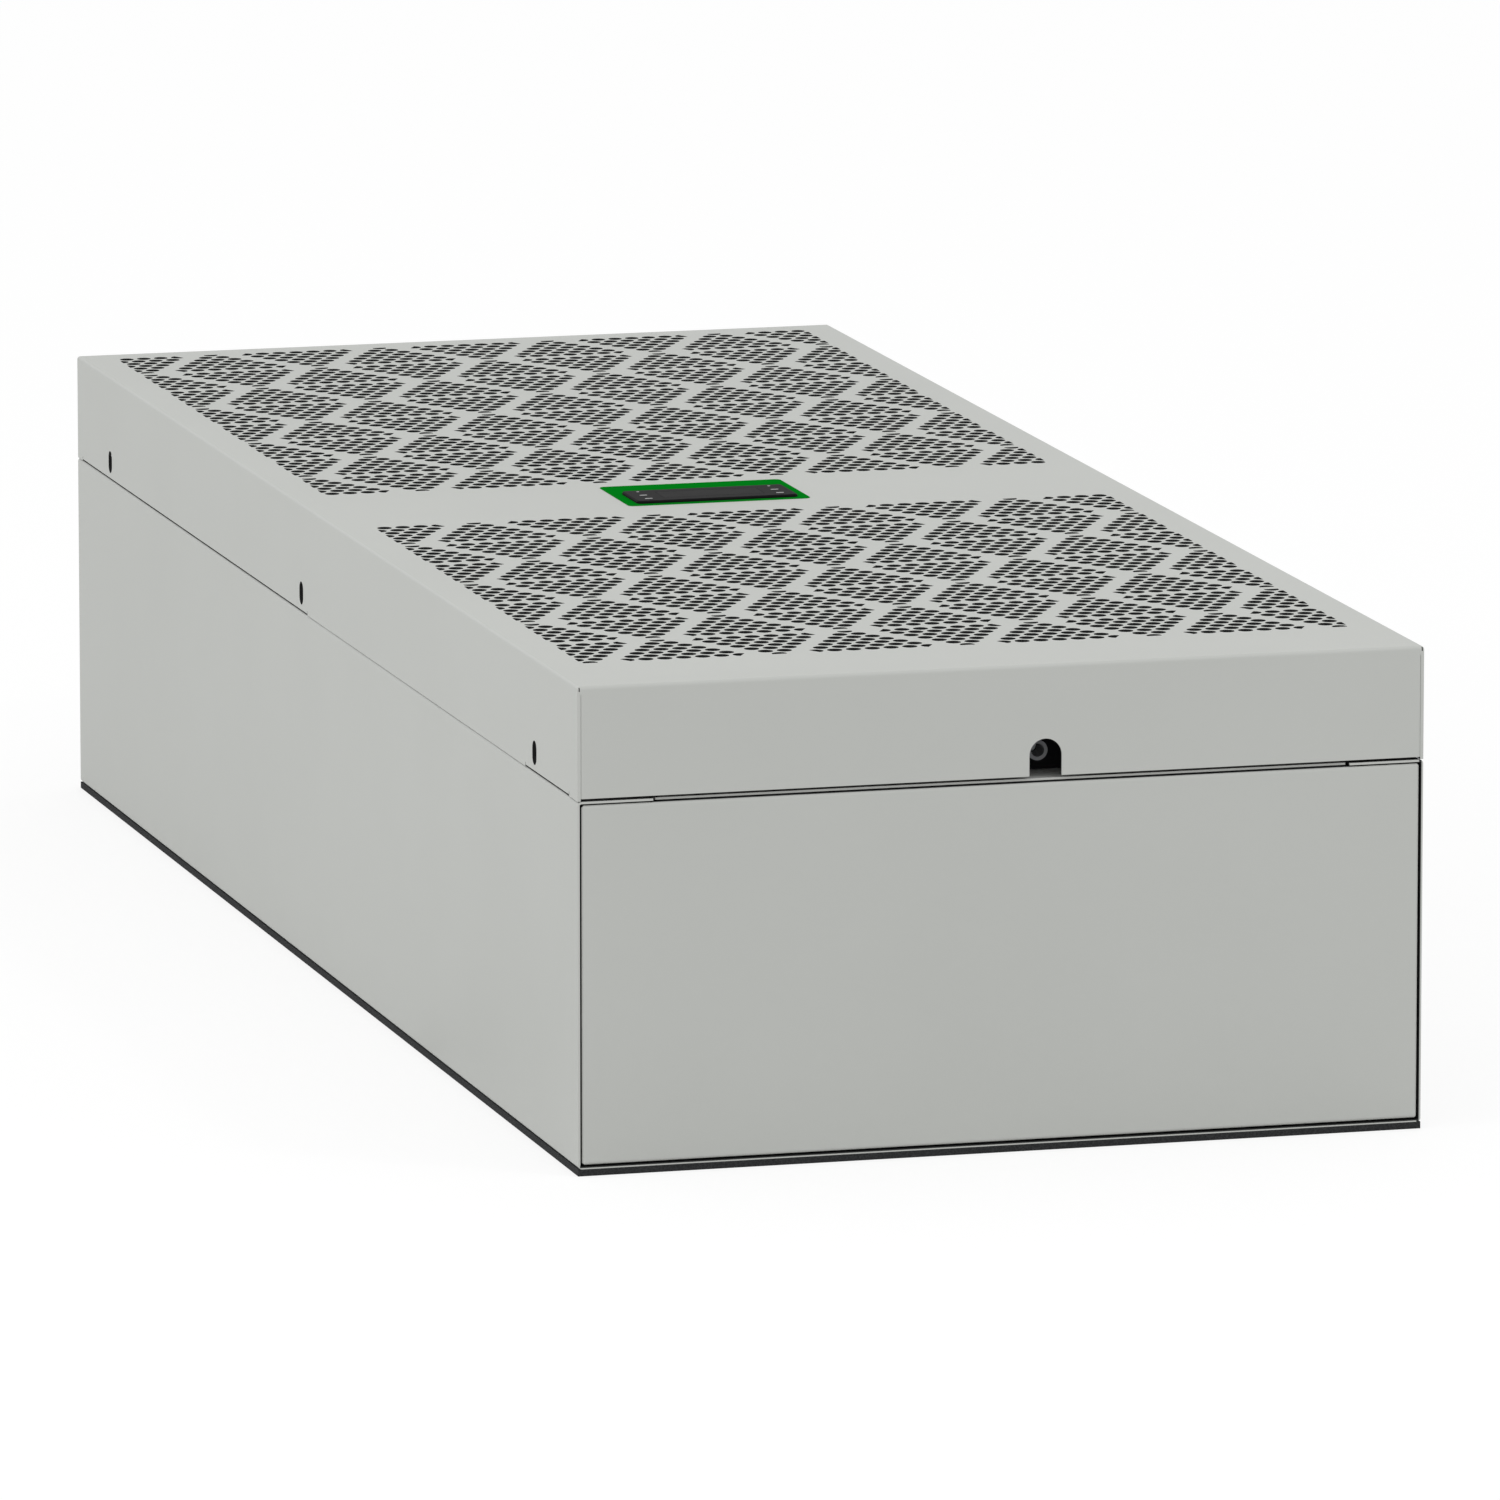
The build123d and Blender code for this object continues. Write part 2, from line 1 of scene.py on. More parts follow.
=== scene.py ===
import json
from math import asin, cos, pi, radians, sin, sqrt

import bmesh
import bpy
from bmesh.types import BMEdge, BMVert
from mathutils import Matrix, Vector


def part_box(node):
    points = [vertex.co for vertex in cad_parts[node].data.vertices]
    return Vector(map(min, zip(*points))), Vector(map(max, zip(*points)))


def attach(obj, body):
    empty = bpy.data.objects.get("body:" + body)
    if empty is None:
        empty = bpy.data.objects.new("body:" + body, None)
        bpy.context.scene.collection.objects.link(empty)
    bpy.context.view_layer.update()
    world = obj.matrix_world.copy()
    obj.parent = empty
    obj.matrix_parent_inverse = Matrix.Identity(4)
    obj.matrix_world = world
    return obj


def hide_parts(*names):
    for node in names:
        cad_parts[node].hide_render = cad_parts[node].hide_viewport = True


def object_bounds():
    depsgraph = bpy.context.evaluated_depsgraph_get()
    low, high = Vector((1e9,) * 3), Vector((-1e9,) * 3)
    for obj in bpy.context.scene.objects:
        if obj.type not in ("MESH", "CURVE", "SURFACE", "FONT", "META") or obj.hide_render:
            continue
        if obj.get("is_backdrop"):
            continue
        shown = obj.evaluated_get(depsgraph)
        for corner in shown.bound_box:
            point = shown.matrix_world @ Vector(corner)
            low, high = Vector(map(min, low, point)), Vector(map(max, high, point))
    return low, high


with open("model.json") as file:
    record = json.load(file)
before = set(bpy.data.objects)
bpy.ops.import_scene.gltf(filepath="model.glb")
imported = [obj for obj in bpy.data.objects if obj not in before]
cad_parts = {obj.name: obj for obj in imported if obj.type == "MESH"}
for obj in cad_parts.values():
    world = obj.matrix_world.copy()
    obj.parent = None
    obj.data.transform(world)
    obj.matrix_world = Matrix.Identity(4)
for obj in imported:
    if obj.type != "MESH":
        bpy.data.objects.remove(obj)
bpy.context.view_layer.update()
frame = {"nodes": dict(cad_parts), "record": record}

# %% [markdown]
# # An enclosure cooling unit
#
# The object is the cooling unit that bolts to the side of an electrical enclosure. It lies on its
# mounting face, so its perforated hood looks up. Its body is folded sheet steel with a light grey
# powder coat, its foot is a black foam gasket, and a small black display sits on a green label.
#
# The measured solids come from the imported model, in metres, with the origin in the middle of the
# mounting face. Most of them only need a finish. This lesson builds the pieces that need finer
# shapes, such as the hood with all of its round holes, and then the finishes, lamps and camera.

mm = 0.001

# %% [markdown]
# ## From a mesh to a piece
#
# Each new piece is shaped in a bmesh, which is Blender's editable mesh. One helper turns a bmesh
# into an object that rides with the body, takes a finish and stands for the solids that it
# replaces. Faces that lie square to an axis stay flat, and the others are shaded smooth. A folded
# sheet then has crisp flats and soft bends, and no shading creeps from a bend into a flat.

# %% A piece from a bmesh
def is_square(normal):
    """True for a face that looks straight along X, Y or Z."""
    return max(abs(axis) for axis in normal) > 0.99999


def make_piece(name, bm, materials, stands_for=()):
    """Ends a bmesh as a shown piece of the unit."""
    bmesh.ops.recalc_face_normals(bm, faces=bm.faces)
    for face in bm.faces:
        face.smooth = not is_square(face.normal)
    mesh = bpy.data.meshes.new(name)
    bm.to_mesh(mesh)
    bm.free()
    piece = bpy.data.objects.new(name, mesh)
    bpy.context.collection.objects.link(piece)
    for material in materials:
        mesh.materials.append(material)
    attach(piece, "root")
    if stands_for:
        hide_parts(*stands_for)
    triangles = sum(len(polygon.vertices) - 2 for polygon in mesh.polygons)
    print(f"{name}: {triangles} triangles")
    return piece


def add_box(bm, low, high):
    """Adds a box between two corners given in millimetres."""
    centre = (Vector(low) + Vector(high)) / 2 * mm
    size = (Vector(high) - Vector(low)) * mm
    matrix = Matrix.Translation(centre) @ Matrix.Diagonal((*size, 1))
    return bmesh.ops.create_cube(bm, size=1, matrix=matrix)["verts"]


def add_turned(bm, profile, steps, matrix):
    """Turns a profile of (radius, height) points in millimetres about Z, then places it."""
    turned = bmesh.new()
    rim = [turned.verts.new((radius * mm, 0, height * mm)) for radius, height in profile]
    edges = [turned.edges.new(pair) for pair in zip(rim, rim[1:])]
    bmesh.ops.spin(turned, geom=rim + edges, cent=(0, 0, 0), axis=(0, 0, 1), angle=2 * pi,
                   steps=steps, use_merge=True)
    bmesh.ops.remove_doubles(turned, verts=turned.verts, dist=0.001 * mm)
    stamp(bm, as_stamp(turned), [matrix])


def stamp(bm, mesh, places):
    """Adds a copy of a mesh to a bmesh at each place, and then removes the mesh."""
    for matrix in places:
        placed = mesh.copy()
        placed.transform(matrix)
        bm.from_mesh(placed)
        bpy.data.meshes.remove(placed)
    bpy.data.meshes.remove(mesh)


def as_stamp(bm):
    """Ends a bmesh as a mesh to stamp copies from."""
    mesh = bpy.data.meshes.new("stamp")
    bm.to_mesh(mesh)
    bm.free()
    return mesh


def at(x, y, z, degrees=0, axis="Z"):
    """Matrix of a place in millimetres, after a turn about an axis through the origin."""
    return Matrix.Translation((x * mm, y * mm, z * mm)) @ Matrix.Rotation(radians(degrees), 4, axis)


# %% [markdown]
# ## Finishes
#
# Every finish starts from the real material: its colour, how glossy it is and how its surface was
# made. Colours are written as sRGB hex values, because that is how they are read off a sample, and
# turned to linear light by one function. Patterns are driven by Object coordinates, which are
# metres on the part, so a pattern's scale is one over its real size.

# %% Colour and node helpers
def linear(hex_colour):
    """Linear RGBA of an sRGB hex colour."""
    values = [int(hex_colour[i:i + 2], 16) / 255 for i in (1, 3, 5)]
    return (*[v / 12.92 if v <= 0.04045 else ((v + 0.055) / 1.055) ** 2.4 for v in values], 1.0)


def add(material, kind, inputs=None, **settings):
    """Adds a shader node. An input is a plain value, or the socket of another node to link."""
    tree = material.node_tree
    node = tree.nodes.new("ShaderNode" + kind)
    for name, value in settings.items():
        setattr(node, name, value)
    for socket, value in (inputs or {}).items():
        if isinstance(value, bpy.types.NodeSocket):
            tree.links.new(value, node.inputs[socket])
        else:
            node.inputs[socket].default_value = value
    return node


def new_finish(name, hex_colour, **constants):
    """A material with one Principled shader. Returns it, its shader and its Object coordinates."""
    material = bpy.data.materials.new(name)
    material.use_nodes = True
    shader = material.node_tree.nodes["Principled BSDF"]
    shader.inputs["Base Color"].default_value = linear(hex_colour)
    for socket, value in constants.items():
        shader.inputs[socket.replace("_", " ")].default_value = value
    return material, shader, add(material, "TexCoord").outputs["Object"]


def drive(shader, socket, value):
    """Links an output to one of the shader's inputs."""
    shader.id_data.links.new(value, shader.inputs[socket])


# %% [markdown]
# ## Light grey powder coat
#
# Sheet steel is sprayed with dry powder, which melts in an oven into one even skin about 80
# microns thick. It never levels like a wet paint: it keeps a fine orange peel, waves of about half
# a millimetre to a millimetre, that breaks up a reflection. A bump node with noise gives that, and
# a very slight change of tone over some centimetres keeps a large panel from looking like plastic.
#
# Over a fold the coat lies thinner and levels better, and hands rub it, so a fold is a little
# smoother than a flat. The surface's normal tells them apart: on a flat it points straight along
# one axis.
#
# The inside of the case gets a dull dark grey in place of the coat. That dark grey is painted shade:
# it stands for the shade inside the case, in its holes and in its gaps.

# %% Powder coat, and a dark grey of painted shade
def coat_with_peel(material, shader, place, flat_roughness, fold_roughness):
    """Gives a sprayed coat its orange peel, and its smoother folds."""
    orange_peel_size = 1.1 * mm
    fold_ends, flat_begins = 0.86, 0.94    # the normal's largest part, which is 1 on a flat
    wave = 0.04
    peel = add(material, "TexNoise", {"Vector": place, "Scale": 1 / orange_peel_size, "Detail": 2.0,
                                      "Roughness": 0.6})
    bump = add(material, "Bump", {"Height": peel.outputs["Fac"], "Strength": 0.35,
                                  "Distance": 0.02 * mm})
    drive(shader, "Normal", bump.outputs["Normal"])
    normal = add(material, "TexCoord").outputs["Normal"]
    sizes = add(material, "SeparateXYZ", {
        0: add(material, "VectorMath", {0: normal}, operation="ABSOLUTE").outputs[0]})
    most = add(material, "Math", {0: sizes.outputs["X"], 1: sizes.outputs["Y"]}, operation="MAXIMUM")
    most = add(material, "Math", {0: most.outputs[0], 1: sizes.outputs["Z"]}, operation="MAXIMUM")
    gloss = add(material, "MapRange", {
        "Value": most.outputs[0], "From Min": fold_ends, "From Max": flat_begins,
        "To Min": fold_roughness, "To Max": flat_roughness})
    waves = add(material, "MapRange", {"Value": peel.outputs["Fac"], "To Min": -wave, "To Max": wave})
    uneven = add(material, "Math", {0: gloss.outputs["Result"], 1: waves.outputs["Result"]})
    drive(shader, "Roughness", uneven.outputs[0])


def mottle(material, place, size, dark, light):
    """A slow change between two close tones, of a given size. Returns the colour."""
    tone = add(material, "TexNoise", {"Vector": place, "Scale": 1 / size, "Detail": 3.0})
    shade = add(material, "ValToRGB", {"Fac": tone.outputs["Fac"]})
    shade.color_ramp.elements[0].color = linear(dark)
    shade.color_ramp.elements[1].color = linear(light)
    return shade.outputs["Color"]


coat_tones = ("#C2C4C0", "#C6C8C4")
coat_patch = 90 * mm
coat_roughness, coat_fold_roughness = 0.55, 0.4
coat_values = {"Roughness": coat_roughness, "IOR": 1.5, "Specular_IOR_Level": 0.22}
# The dull dark grey of painted shade, for faces that lie in shade inside the case.
painted_shade_tones = ("#2A2B2B", "#303131")
painted_shade_patch = 20 * mm
painted_shade_roughness = 0.6

powder_coat, shader, place = new_finish("light_grey_powder_coat", "#C4C6C2", **coat_values)
coat_with_peel(powder_coat, shader, place, coat_roughness, coat_fold_roughness)
drive(shader, "Base Color", mottle(powder_coat, place, coat_patch, *coat_tones))

# The dark grey finish of painted shade, not a real primer.
painted_shade_coat, shader, place = new_finish("dark_painted_shade_coat", "#2D2E2E", Roughness=painted_shade_roughness,
                                       IOR=1.5, Specular_IOR_Level=0.1)
coat_with_peel(painted_shade_coat, shader, place, painted_shade_roughness, painted_shade_roughness)
drive(shader, "Base Color", mottle(painted_shade_coat, place, painted_shade_patch, *painted_shade_tones))
print(powder_coat.name, painted_shade_coat.name)

# %% [markdown]
# The housing and its end panels are single solids that are seen from both sides. Their finish is the
# same powder coat, and it turns to a dark grey by place, a little way in from the case's outer faces.
# That dark grey is painted shade, so a seam between two folded sheets shows dark.
#
# In the photograph the gaps on the right and at the foot of the near end look wider and darker than
# the sheets' own gaps. Two narrow bands of painted shade, one along the right and one along the back,
# are placed to match that. They are a match to the picture, not a known feature of a case.

# %% Powder coat that turns to painted shade a little way in from the case's faces
painted_shade_inset = 0.8 * mm
housing_low, housing_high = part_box("housing")
face_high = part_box("cover_face")[1]
case_low = Vector(housing_low)
case_high = Vector((housing_high.x, housing_high.y, face_high.z))
case_middle = (case_low + case_high) / 2
unshaded_half = (case_high - case_low) / 2 - Vector((painted_shade_inset, painted_shade_inset, painted_shade_inset))
fade = 0.1 * mm
half_band = 0.6 * mm

# Powder coat on the outside, and the dark grey of painted shade a little way in from the case's outer
# faces.
coat_with_painted_shade, shader, place = new_finish("powder_coat_with_painted_shade", "#C4C6C2", **coat_values)
coat_with_peel(coat_with_painted_shade, shader, place, coat_roughness, coat_fold_roughness)
centred = add(coat_with_painted_shade, "VectorMath", {0: place, 1: case_middle}, operation="SUBTRACT")
folded = add(coat_with_painted_shade, "VectorMath", {0: centred.outputs[0]}, operation="ABSOLUTE")
inward = add(coat_with_painted_shade, "VectorMath", {0: unshaded_half, 1: folded.outputs[0]}, operation="SUBTRACT")
depths = add(coat_with_painted_shade, "SeparateXYZ", {0: inward.outputs[0]})
least = add(coat_with_painted_shade, "Math", {0: depths.outputs["X"], 1: depths.outputs["Y"]}, operation="MINIMUM")
least = add(coat_with_painted_shade, "Math", {0: least.outputs[0], 1: depths.outputs["Z"]}, operation="MINIMUM")
painted_shade_mask = add(coat_with_painted_shade, "MapRange", {"Value": least.outputs[0], "From Min": 0.0, "From Max": fade})
places = add(coat_with_painted_shade, "SeparateXYZ", {0: place})
# Two bands of painted shade, beside the gaps on the right and at the back.
right_band = add(coat_with_painted_shade, "Math", {0: places.outputs["X"], 1: case_high.x - painted_shade_inset - half_band,
                                     2: half_band}, operation="COMPARE")
back_band = add(coat_with_painted_shade, "Math", {0: places.outputs["Z"], 1: case_low.z + 2 * half_band,
                                    2: half_band}, operation="COMPARE")
bands = add(coat_with_painted_shade, "Math", {0: right_band.outputs[0], 1: back_band.outputs[0]},
            operation="MAXIMUM")
within = add(coat_with_painted_shade, "Math", {0: depths.outputs["X"], 1: 0.0}, operation="GREATER_THAN")
bands = add(coat_with_painted_shade, "Math", {0: bands.outputs[0], 1: within.outputs[0]}, operation="MULTIPLY")
painted_shade_mask = add(coat_with_painted_shade, "Math", {0: painted_shade_mask.outputs["Result"], 1: bands.outputs[0]}, operation="MAXIMUM")
# Painted shade where the mask is one, powder coat elsewhere.
coat = add(coat_with_painted_shade, "Mix", {0: painted_shade_mask.outputs[0],
                              6: mottle(coat_with_painted_shade, place, coat_patch, *coat_tones),
                              7: mottle(coat_with_painted_shade, place, painted_shade_patch, *painted_shade_tones)},
           data_type="RGBA")
drive(shader, "Base Color", coat.outputs[2])
print(coat_with_painted_shade.name, "reach", round(painted_shade_inset / mm, 2), "mm")

# %% [markdown]
# ## Zinc-coated sheet
#
# The inner sheets aren't painted. Hot-dip zinc sets in flat crystals, the spangle, each a few
# millimetres to a centimetre across, and each mirrors the light a little differently. A Voronoi
# texture gives the cells, and each cell's random value moves the colour and the gloss.

# %% Galvanised sheet
galvanised, shader, place = new_finish("galvanised_sheet", "#9EA2A4", Metallic=1.0, Roughness=0.42)
spangle_size = 7 * mm
spangle = add(galvanised, "TexVoronoi", {"Vector": place, "Scale": 1 / spangle_size})
tint = add(galvanised, "ValToRGB", {"Fac": spangle.outputs["Color"]})
tint.color_ramp.elements[0].color = linear("#8A8F92")
tint.color_ramp.elements[1].color = linear("#A9ADAF")
drive(shader, "Base Color", tint.outputs["Color"])
gloss = add(galvanised, "MapRange", {"Value": spangle.outputs["Color"], "To Min": 0.34,
                                     "To Max": 0.52})
drive(shader, "Roughness", gloss.outputs["Result"])
print(galvanised.name, "spangle", spangle_size / mm, "mm")

# %% [markdown]
# ## Foam gasket
#
# The gasket is closed-cell foam rubber, cut in strips. Its skin is dull, and the cut edge shows
# the opened cells, well under a millimetre across. They are drawn at 0.9 mm, a little coarser
# than they are, so that they can be seen at all.

# %% Foam
foam, shader, place = new_finish("black_cell_foam", "#2B2C2D", Roughness=0.95, IOR=1.45,
                                 Specular_IOR_Level=0.22)
cell_size = 0.9 * mm
cells = add(foam, "TexVoronoi", {"Vector": place, "Scale": 1 / cell_size})
pits = add(foam, "ValToRGB", {"Fac": cells.outputs["Distance"]})
pits.color_ramp.elements[0].color = linear("#222324")
pits.color_ramp.elements[1].color = linear("#3C3D3E")
drive(shader, "Base Color", pits.outputs["Color"])
bump = add(foam, "Bump", {"Height": cells.outputs["Distance"], "Strength": 0.5,
                          "Distance": 0.2 * mm})
drive(shader, "Normal", bump.outputs["Normal"])
print(foam.name, "cells", cell_size / mm, "mm")

# %% [markdown]
# ## Green label film
#
# The label is matt polyester film, printed on its back and glued on. It hardly mirrors anything,
# even when it is seen at a low angle, so its specular level is zero and its colour stays deep. Its
# embossed grain is very fine.

# %% Label film
film, shader, place = new_finish("green_printed_film", "#037D19", Roughness=0.8, IOR=1.5,
                                 Specular_IOR_Level=0.0)
grain_size = 0.6 * mm
drive(shader, "Base Color", mottle(film, place, grain_size, "#02781A", "#04821B"))
print(film.name)

# %% [markdown]
# ## Moulded plastics
#
# The display frame, the fans and the plug are injection moulded. The mould is spark eroded, which
# leaves a fine, even grain of about a tenth of a millimetre. It is drawn at half a millimetre, and
# it makes the black look soft and slightly grey. The tray is moulded in dark grey, and the drain
# tube and the controller's box in mid grey.

# %% Moulded plastics
def moulded_plastic(name, dark, light, grain_mm, roughness):
    """Injection-moulded plastic with a spark-eroded grain."""
    material, shader, place = new_finish(name, dark, Roughness=roughness, IOR=1.5,
                                         Specular_IOR_Level=0.1)
    grain = add(material, "TexNoise", {"Vector": place, "Scale": 1 / (grain_mm * mm),
                                       "Detail": 3.0, "Roughness": 0.7})
    tone = add(material, "ValToRGB", {"Fac": grain.outputs["Fac"]})
    tone.color_ramp.elements[0].color = linear(dark)
    tone.color_ramp.elements[1].color = linear(light)
    drive(shader, "Base Color", tone.outputs["Color"])
    bump = add(material, "Bump", {"Height": grain.outputs["Fac"], "Strength": 0.4,
                                  "Distance": 0.03 * mm})
    drive(shader, "Normal", bump.outputs["Normal"])
    return material


black_plastic = moulded_plastic("black_moulded_plastic", "#1E1D1F", "#2A292B", 0.5, 0.6)
frame_plastic = moulded_plastic("soft_black_display_frame", "#0B0B0C", "#101011", 0.5, 0.7)
tray_plastic = moulded_plastic("dark_grey_tray_plastic", "#161617", "#1D1D1E", 0.5, 0.6)
grey_plastic = moulded_plastic("grey_moulded_plastic", "#7C7D7F", "#898A8C", 0.5, 0.55)
print(black_plastic.name, frame_plastic.name, tray_plastic.name, grey_plastic.name)

# %% [markdown]
# ## Screen print
#
# The marks beside the display are printed through a fine mesh with pale matt ink. The ink stands a
# few hundredths of a millimetre proud, and it is a little uneven where the mesh left it thin.

# %% Pale ink
pale_ink, shader, place = new_finish("pale_screen_ink", "#C9CACA", Roughness=0.7, IOR=1.5,
                                     Specular_IOR_Level=0.1)
ink_mesh_size = 0.4 * mm
drive(shader, "Base Color",
      mottle(pale_ink, place, ink_mesh_size, "#B4B5B5", "#D6D7D7"))
print(pale_ink.name)

# %% [markdown]
# ## Display pane
#
# The pane is tinted acrylic with a matt hard coat, over digits that are dark while the unit is off.
# It is a little smoother than the frame round it, so it is told apart by its gloss alone.

# %% Pane
pane, shader, place = new_finish("tinted_pane", "#0D0D0E", Roughness=0.65, IOR=1.49,
                                 Specular_IOR_Level=0.09)
haze_size = 12 * mm
haze = add(pane, "TexNoise", {"Vector": place, "Scale": 1 / haze_size, "Detail": 4.0})
gloss = add(pane, "MapRange", {"Value": haze.outputs["Fac"], "To Min": 0.6, "To Max": 0.7})
drive(shader, "Roughness", gloss.outputs["Result"])
print(pane.name)

# %% [markdown]
# ## Fins, enamel and bright metals
#
# The outer coil's aluminium fins carry a dark coating against corrosion, and the inner coil's are
# bare. Compressor and motors are dipped in black enamel. Copper, brass and bright zinc are used
# for tubes, plug pins and inserts, and the screws are blackened. Each metal keeps its own tint and
# has a faint streak or stain.

# %% Metals and enamel
def streaked(name, dark, light, streak_mm, **constants):
    """A finish whose tone wanders between two values in streaks of a real size."""
    material, shader, place = new_finish(name, dark, **constants)
    streak = add(material, "TexNoise", {"Vector": place, "Scale": 1 / (streak_mm * mm),
                                        "Detail": 4.0, "Roughness": 0.6})
    tone = add(material, "ValToRGB", {"Fac": streak.outputs["Fac"]})
    tone.color_ramp.elements[0].position = 0.3
    tone.color_ramp.elements[0].color = linear(dark)
    tone.color_ramp.elements[1].position = 0.7
    tone.color_ramp.elements[1].color = linear(light)
    drive(shader, "Base Color", tone.outputs["Color"])
    bump = add(material, "Bump", {"Height": streak.outputs["Fac"], "Strength": 0.2,
                                  "Distance": 0.05 * mm})
    drive(shader, "Normal", bump.outputs["Normal"])
    return material


coated_fins = streaked("coated_aluminium_fins", "#2E3133", "#3A3D40", 3.0, Roughness=0.6)
bare_fins = streaked("bare_aluminium_fins", "#C2C5C7", "#D2D4D6", 3.0, Metallic=1.0, Roughness=0.35)
black_enamel = streaked("black_enamel", "#101011", "#1A1A1B", 6.0, Roughness=0.35)
copper = streaked("drawn_copper", "#B8704C", "#C98661", 8.0, Metallic=1.0, Roughness=0.3)
brass = streaked("turned_brass", "#B79A55", "#C8AC66", 2.0, Metallic=1.0, Roughness=0.28)
bright_zinc = streaked("bright_zinc", "#BDBEBB", "#CDCEC9", 2.0, Metallic=1.0, Roughness=0.3)
blackened_steel = streaked("blackened_steel", "#2C2C2E", "#38383B", 1.5, Roughness=0.4)
print("metals made")

# %% [markdown]
# ## The solids take their finishes
#
# Every solid names a slot in the part's record, such as galvanised or coated_fins, so one table
# from slot to finish dresses all of them. A second, short table holds the few solids whose finish
# is a variety of their slot's.

# %% Dress the solids
finish_of_slot = {
    "light_grey_paint": powder_coat, "galvanised": galvanised, "zinc_plated": bright_zinc,
    "gasket_foam": foam, "green_label": film, "black_plastic": black_plastic,
    "display_pane": pane, "coated_fins": coated_fins, "bare_fins": bare_fins,
    "black_enamel": black_enamel, "grey_plastic": grey_plastic,
}
finish_of_node = {"housing": coat_with_painted_shade, "bottom_end_panel": coat_with_painted_shade, "top_end_panel": coat_with_painted_shade,
                  "display_bezel": frame_plastic, "condensate_tray": tray_plastic}
for subpart in frame["record"]["subparts"]:
    name = subpart["node"]
    solid = frame["nodes"][name]
    solid.data.materials.clear()
    solid.data.materials.append(finish_of_node.get(name, finish_of_slot[subpart["material_slot"]]))

# %% [markdown]
# ## The hood's sheet
#
# The hood is one blank of 1.5 mm sheet, folded down along four lines. A box without its floor, with
# its upper edges bevelled, is the outside of that sheet. The Solidify modifier gives it its thickness
# towards the inside, and gives the new faces the dark grey of painted shade.

# %% Fold the hood
side_low, side_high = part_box("cover_left_side")
hood_half_width = face_high.x / mm
hood_half_length = face_high.y / mm
hood_base = side_low.z / mm
hood_top = face_high.z / mm
hood_sheet = (side_high.x - side_low.x) / mm
hood_bend = hood_sheet + 0.2
bend_steps = 8


def round_edges(bm, edges, width, segments):
    """Bevels edges round, by a width in millimetres."""
    bmesh.ops.bevel(bm, geom=edges, offset=width * mm, offset_type="OFFSET", segments=segments,
                    profile=0.5, affect="EDGES", material=-1)


bm = bmesh.new()
add_box(bm, (-hood_half_width, -hood_half_length, hood_base),
        (hood_half_width, hood_half_length, hood_top))
floor_faces = [face for face in bm.faces if face.normal.z < -0.9]
bmesh.ops.delete(bm, geom=floor_faces, context="FACES_ONLY")
top_edges = [edge for edge in bm.edges
             if all(abs(vert.co.z - hood_top * mm) < 1e-6 for vert in edge.verts)]
round_edges(bm, top_edges, hood_bend, bend_steps)
hood = make_piece("perforated_hood", bm, (powder_coat, painted_shade_coat),
                  ("cover_face", "cover_left_side", "cover_right_side", "cover_bottom_end",
                   "cover_top_end"))
thicken = hood.modifiers.new("thicken", "SOLIDIFY")
thicken.thickness = hood_sheet * mm
thicken.offset = -1.0
thicken.use_even_offset = True
# The sheet's inside and its cut edges get the dark grey of painted shade.
thicken.material_offset = 1
thicken.material_offset_rim = 1

# %% [markdown]
# ## The punches
#
# A press punches the holes before the blank is folded. Here the punches are pins, and the Boolean
# modifier takes them out of the sheet. The pattern is made of patches of 28 holes in seven rows,
# like bowling pins. A patch and the same patch turned by half a turn stand side by side, and
# together they make diamonds. The three corner holes of a patch are cut off straight, a little
# beyond their middles. With twelve sides a hole looks round at this size, and over three thousand
# of them stay light.

# %% One patch of punches
hole_pitch = 8.914
hole_radius = 3.6
hole_sides, hole_turn = 12, 15
rows_in_patch = 7
half_row_height = 56.0
base_row_inset = 5.95
row_step = hole_pitch * sqrt(3) / 2
punch_low, punch_high = hood_top - 4, hood_top + 3


def add_pin(bm, radius, low, high, segments, matrix):
    """Adds a capped cylinder along Z between two heights in millimetres, then places it."""
    centre = Matrix.Translation((0, 0, (low + high) / 2 * mm))
    bmesh.ops.create_cone(bm, cap_ends=True, segments=segments, radius1=radius * mm,
                          radius2=radius * mm, depth=(high - low) * mm, matrix=matrix @ centre)


def close_holes(bm):
    """Fills every opening that has a loop of edges round it."""
    bmesh.ops.holes_fill(bm, edges=[edge for edge in bm.edges if edge.is_boundary], sides=0)


def trim(bm, point, direction):
    """Cuts off what lies beyond a plane, and closes the cut."""
    bmesh.ops.bisect_plane(bm, geom=bm.verts[:] + bm.edges[:] + bm.faces[:], plane_co=point,
                           plane_no=direction, clear_outer=True)
    close_holes(bm)


patch = bmesh.new()
for row in range(rows_in_patch):
    holes_in_row = rows_in_patch - row
    for hole in range(holes_in_row):
        x = (hole - (holes_in_row - 1) / 2) * hole_pitch
        add_pin(patch, hole_radius, punch_low, punch_high, hole_sides,
                at(x, base_row_inset + row * row_step, 0, hole_turn))
corner_trim = 1.0
corner_reach = hole_pitch * (rows_in_patch - 1) / sqrt(3) + corner_trim
patch_middle = Vector((0, base_row_inset + (rows_in_patch - 1) * row_step / 3, 0)) * mm
for bearing in (90, 210, 330):
    outward = Vector((cos(radians(bearing)), sin(radians(bearing)), 0))
    trim(patch, patch_middle + outward * corner_reach * mm, outward)
patch_mesh = as_stamp(patch)
print("punches in a patch:", rows_in_patch * (rows_in_patch + 1) // 2)

# %% [markdown]
# The patches stand in nine columns, five hole steps apart. The lower grille has seven half rows and
# the upper one eight. Both are cut straight along their sides, so the holes there are halves.

# %% Both grilles
column_step = hole_pitch * (rows_in_patch - 2)
columns_each_side = 4
clip = columns_each_side * column_step + hole_pitch / 2
grilles = ((-444.66, 7, False), (39.34, 8, True))    # start, half rows, whether the first points up

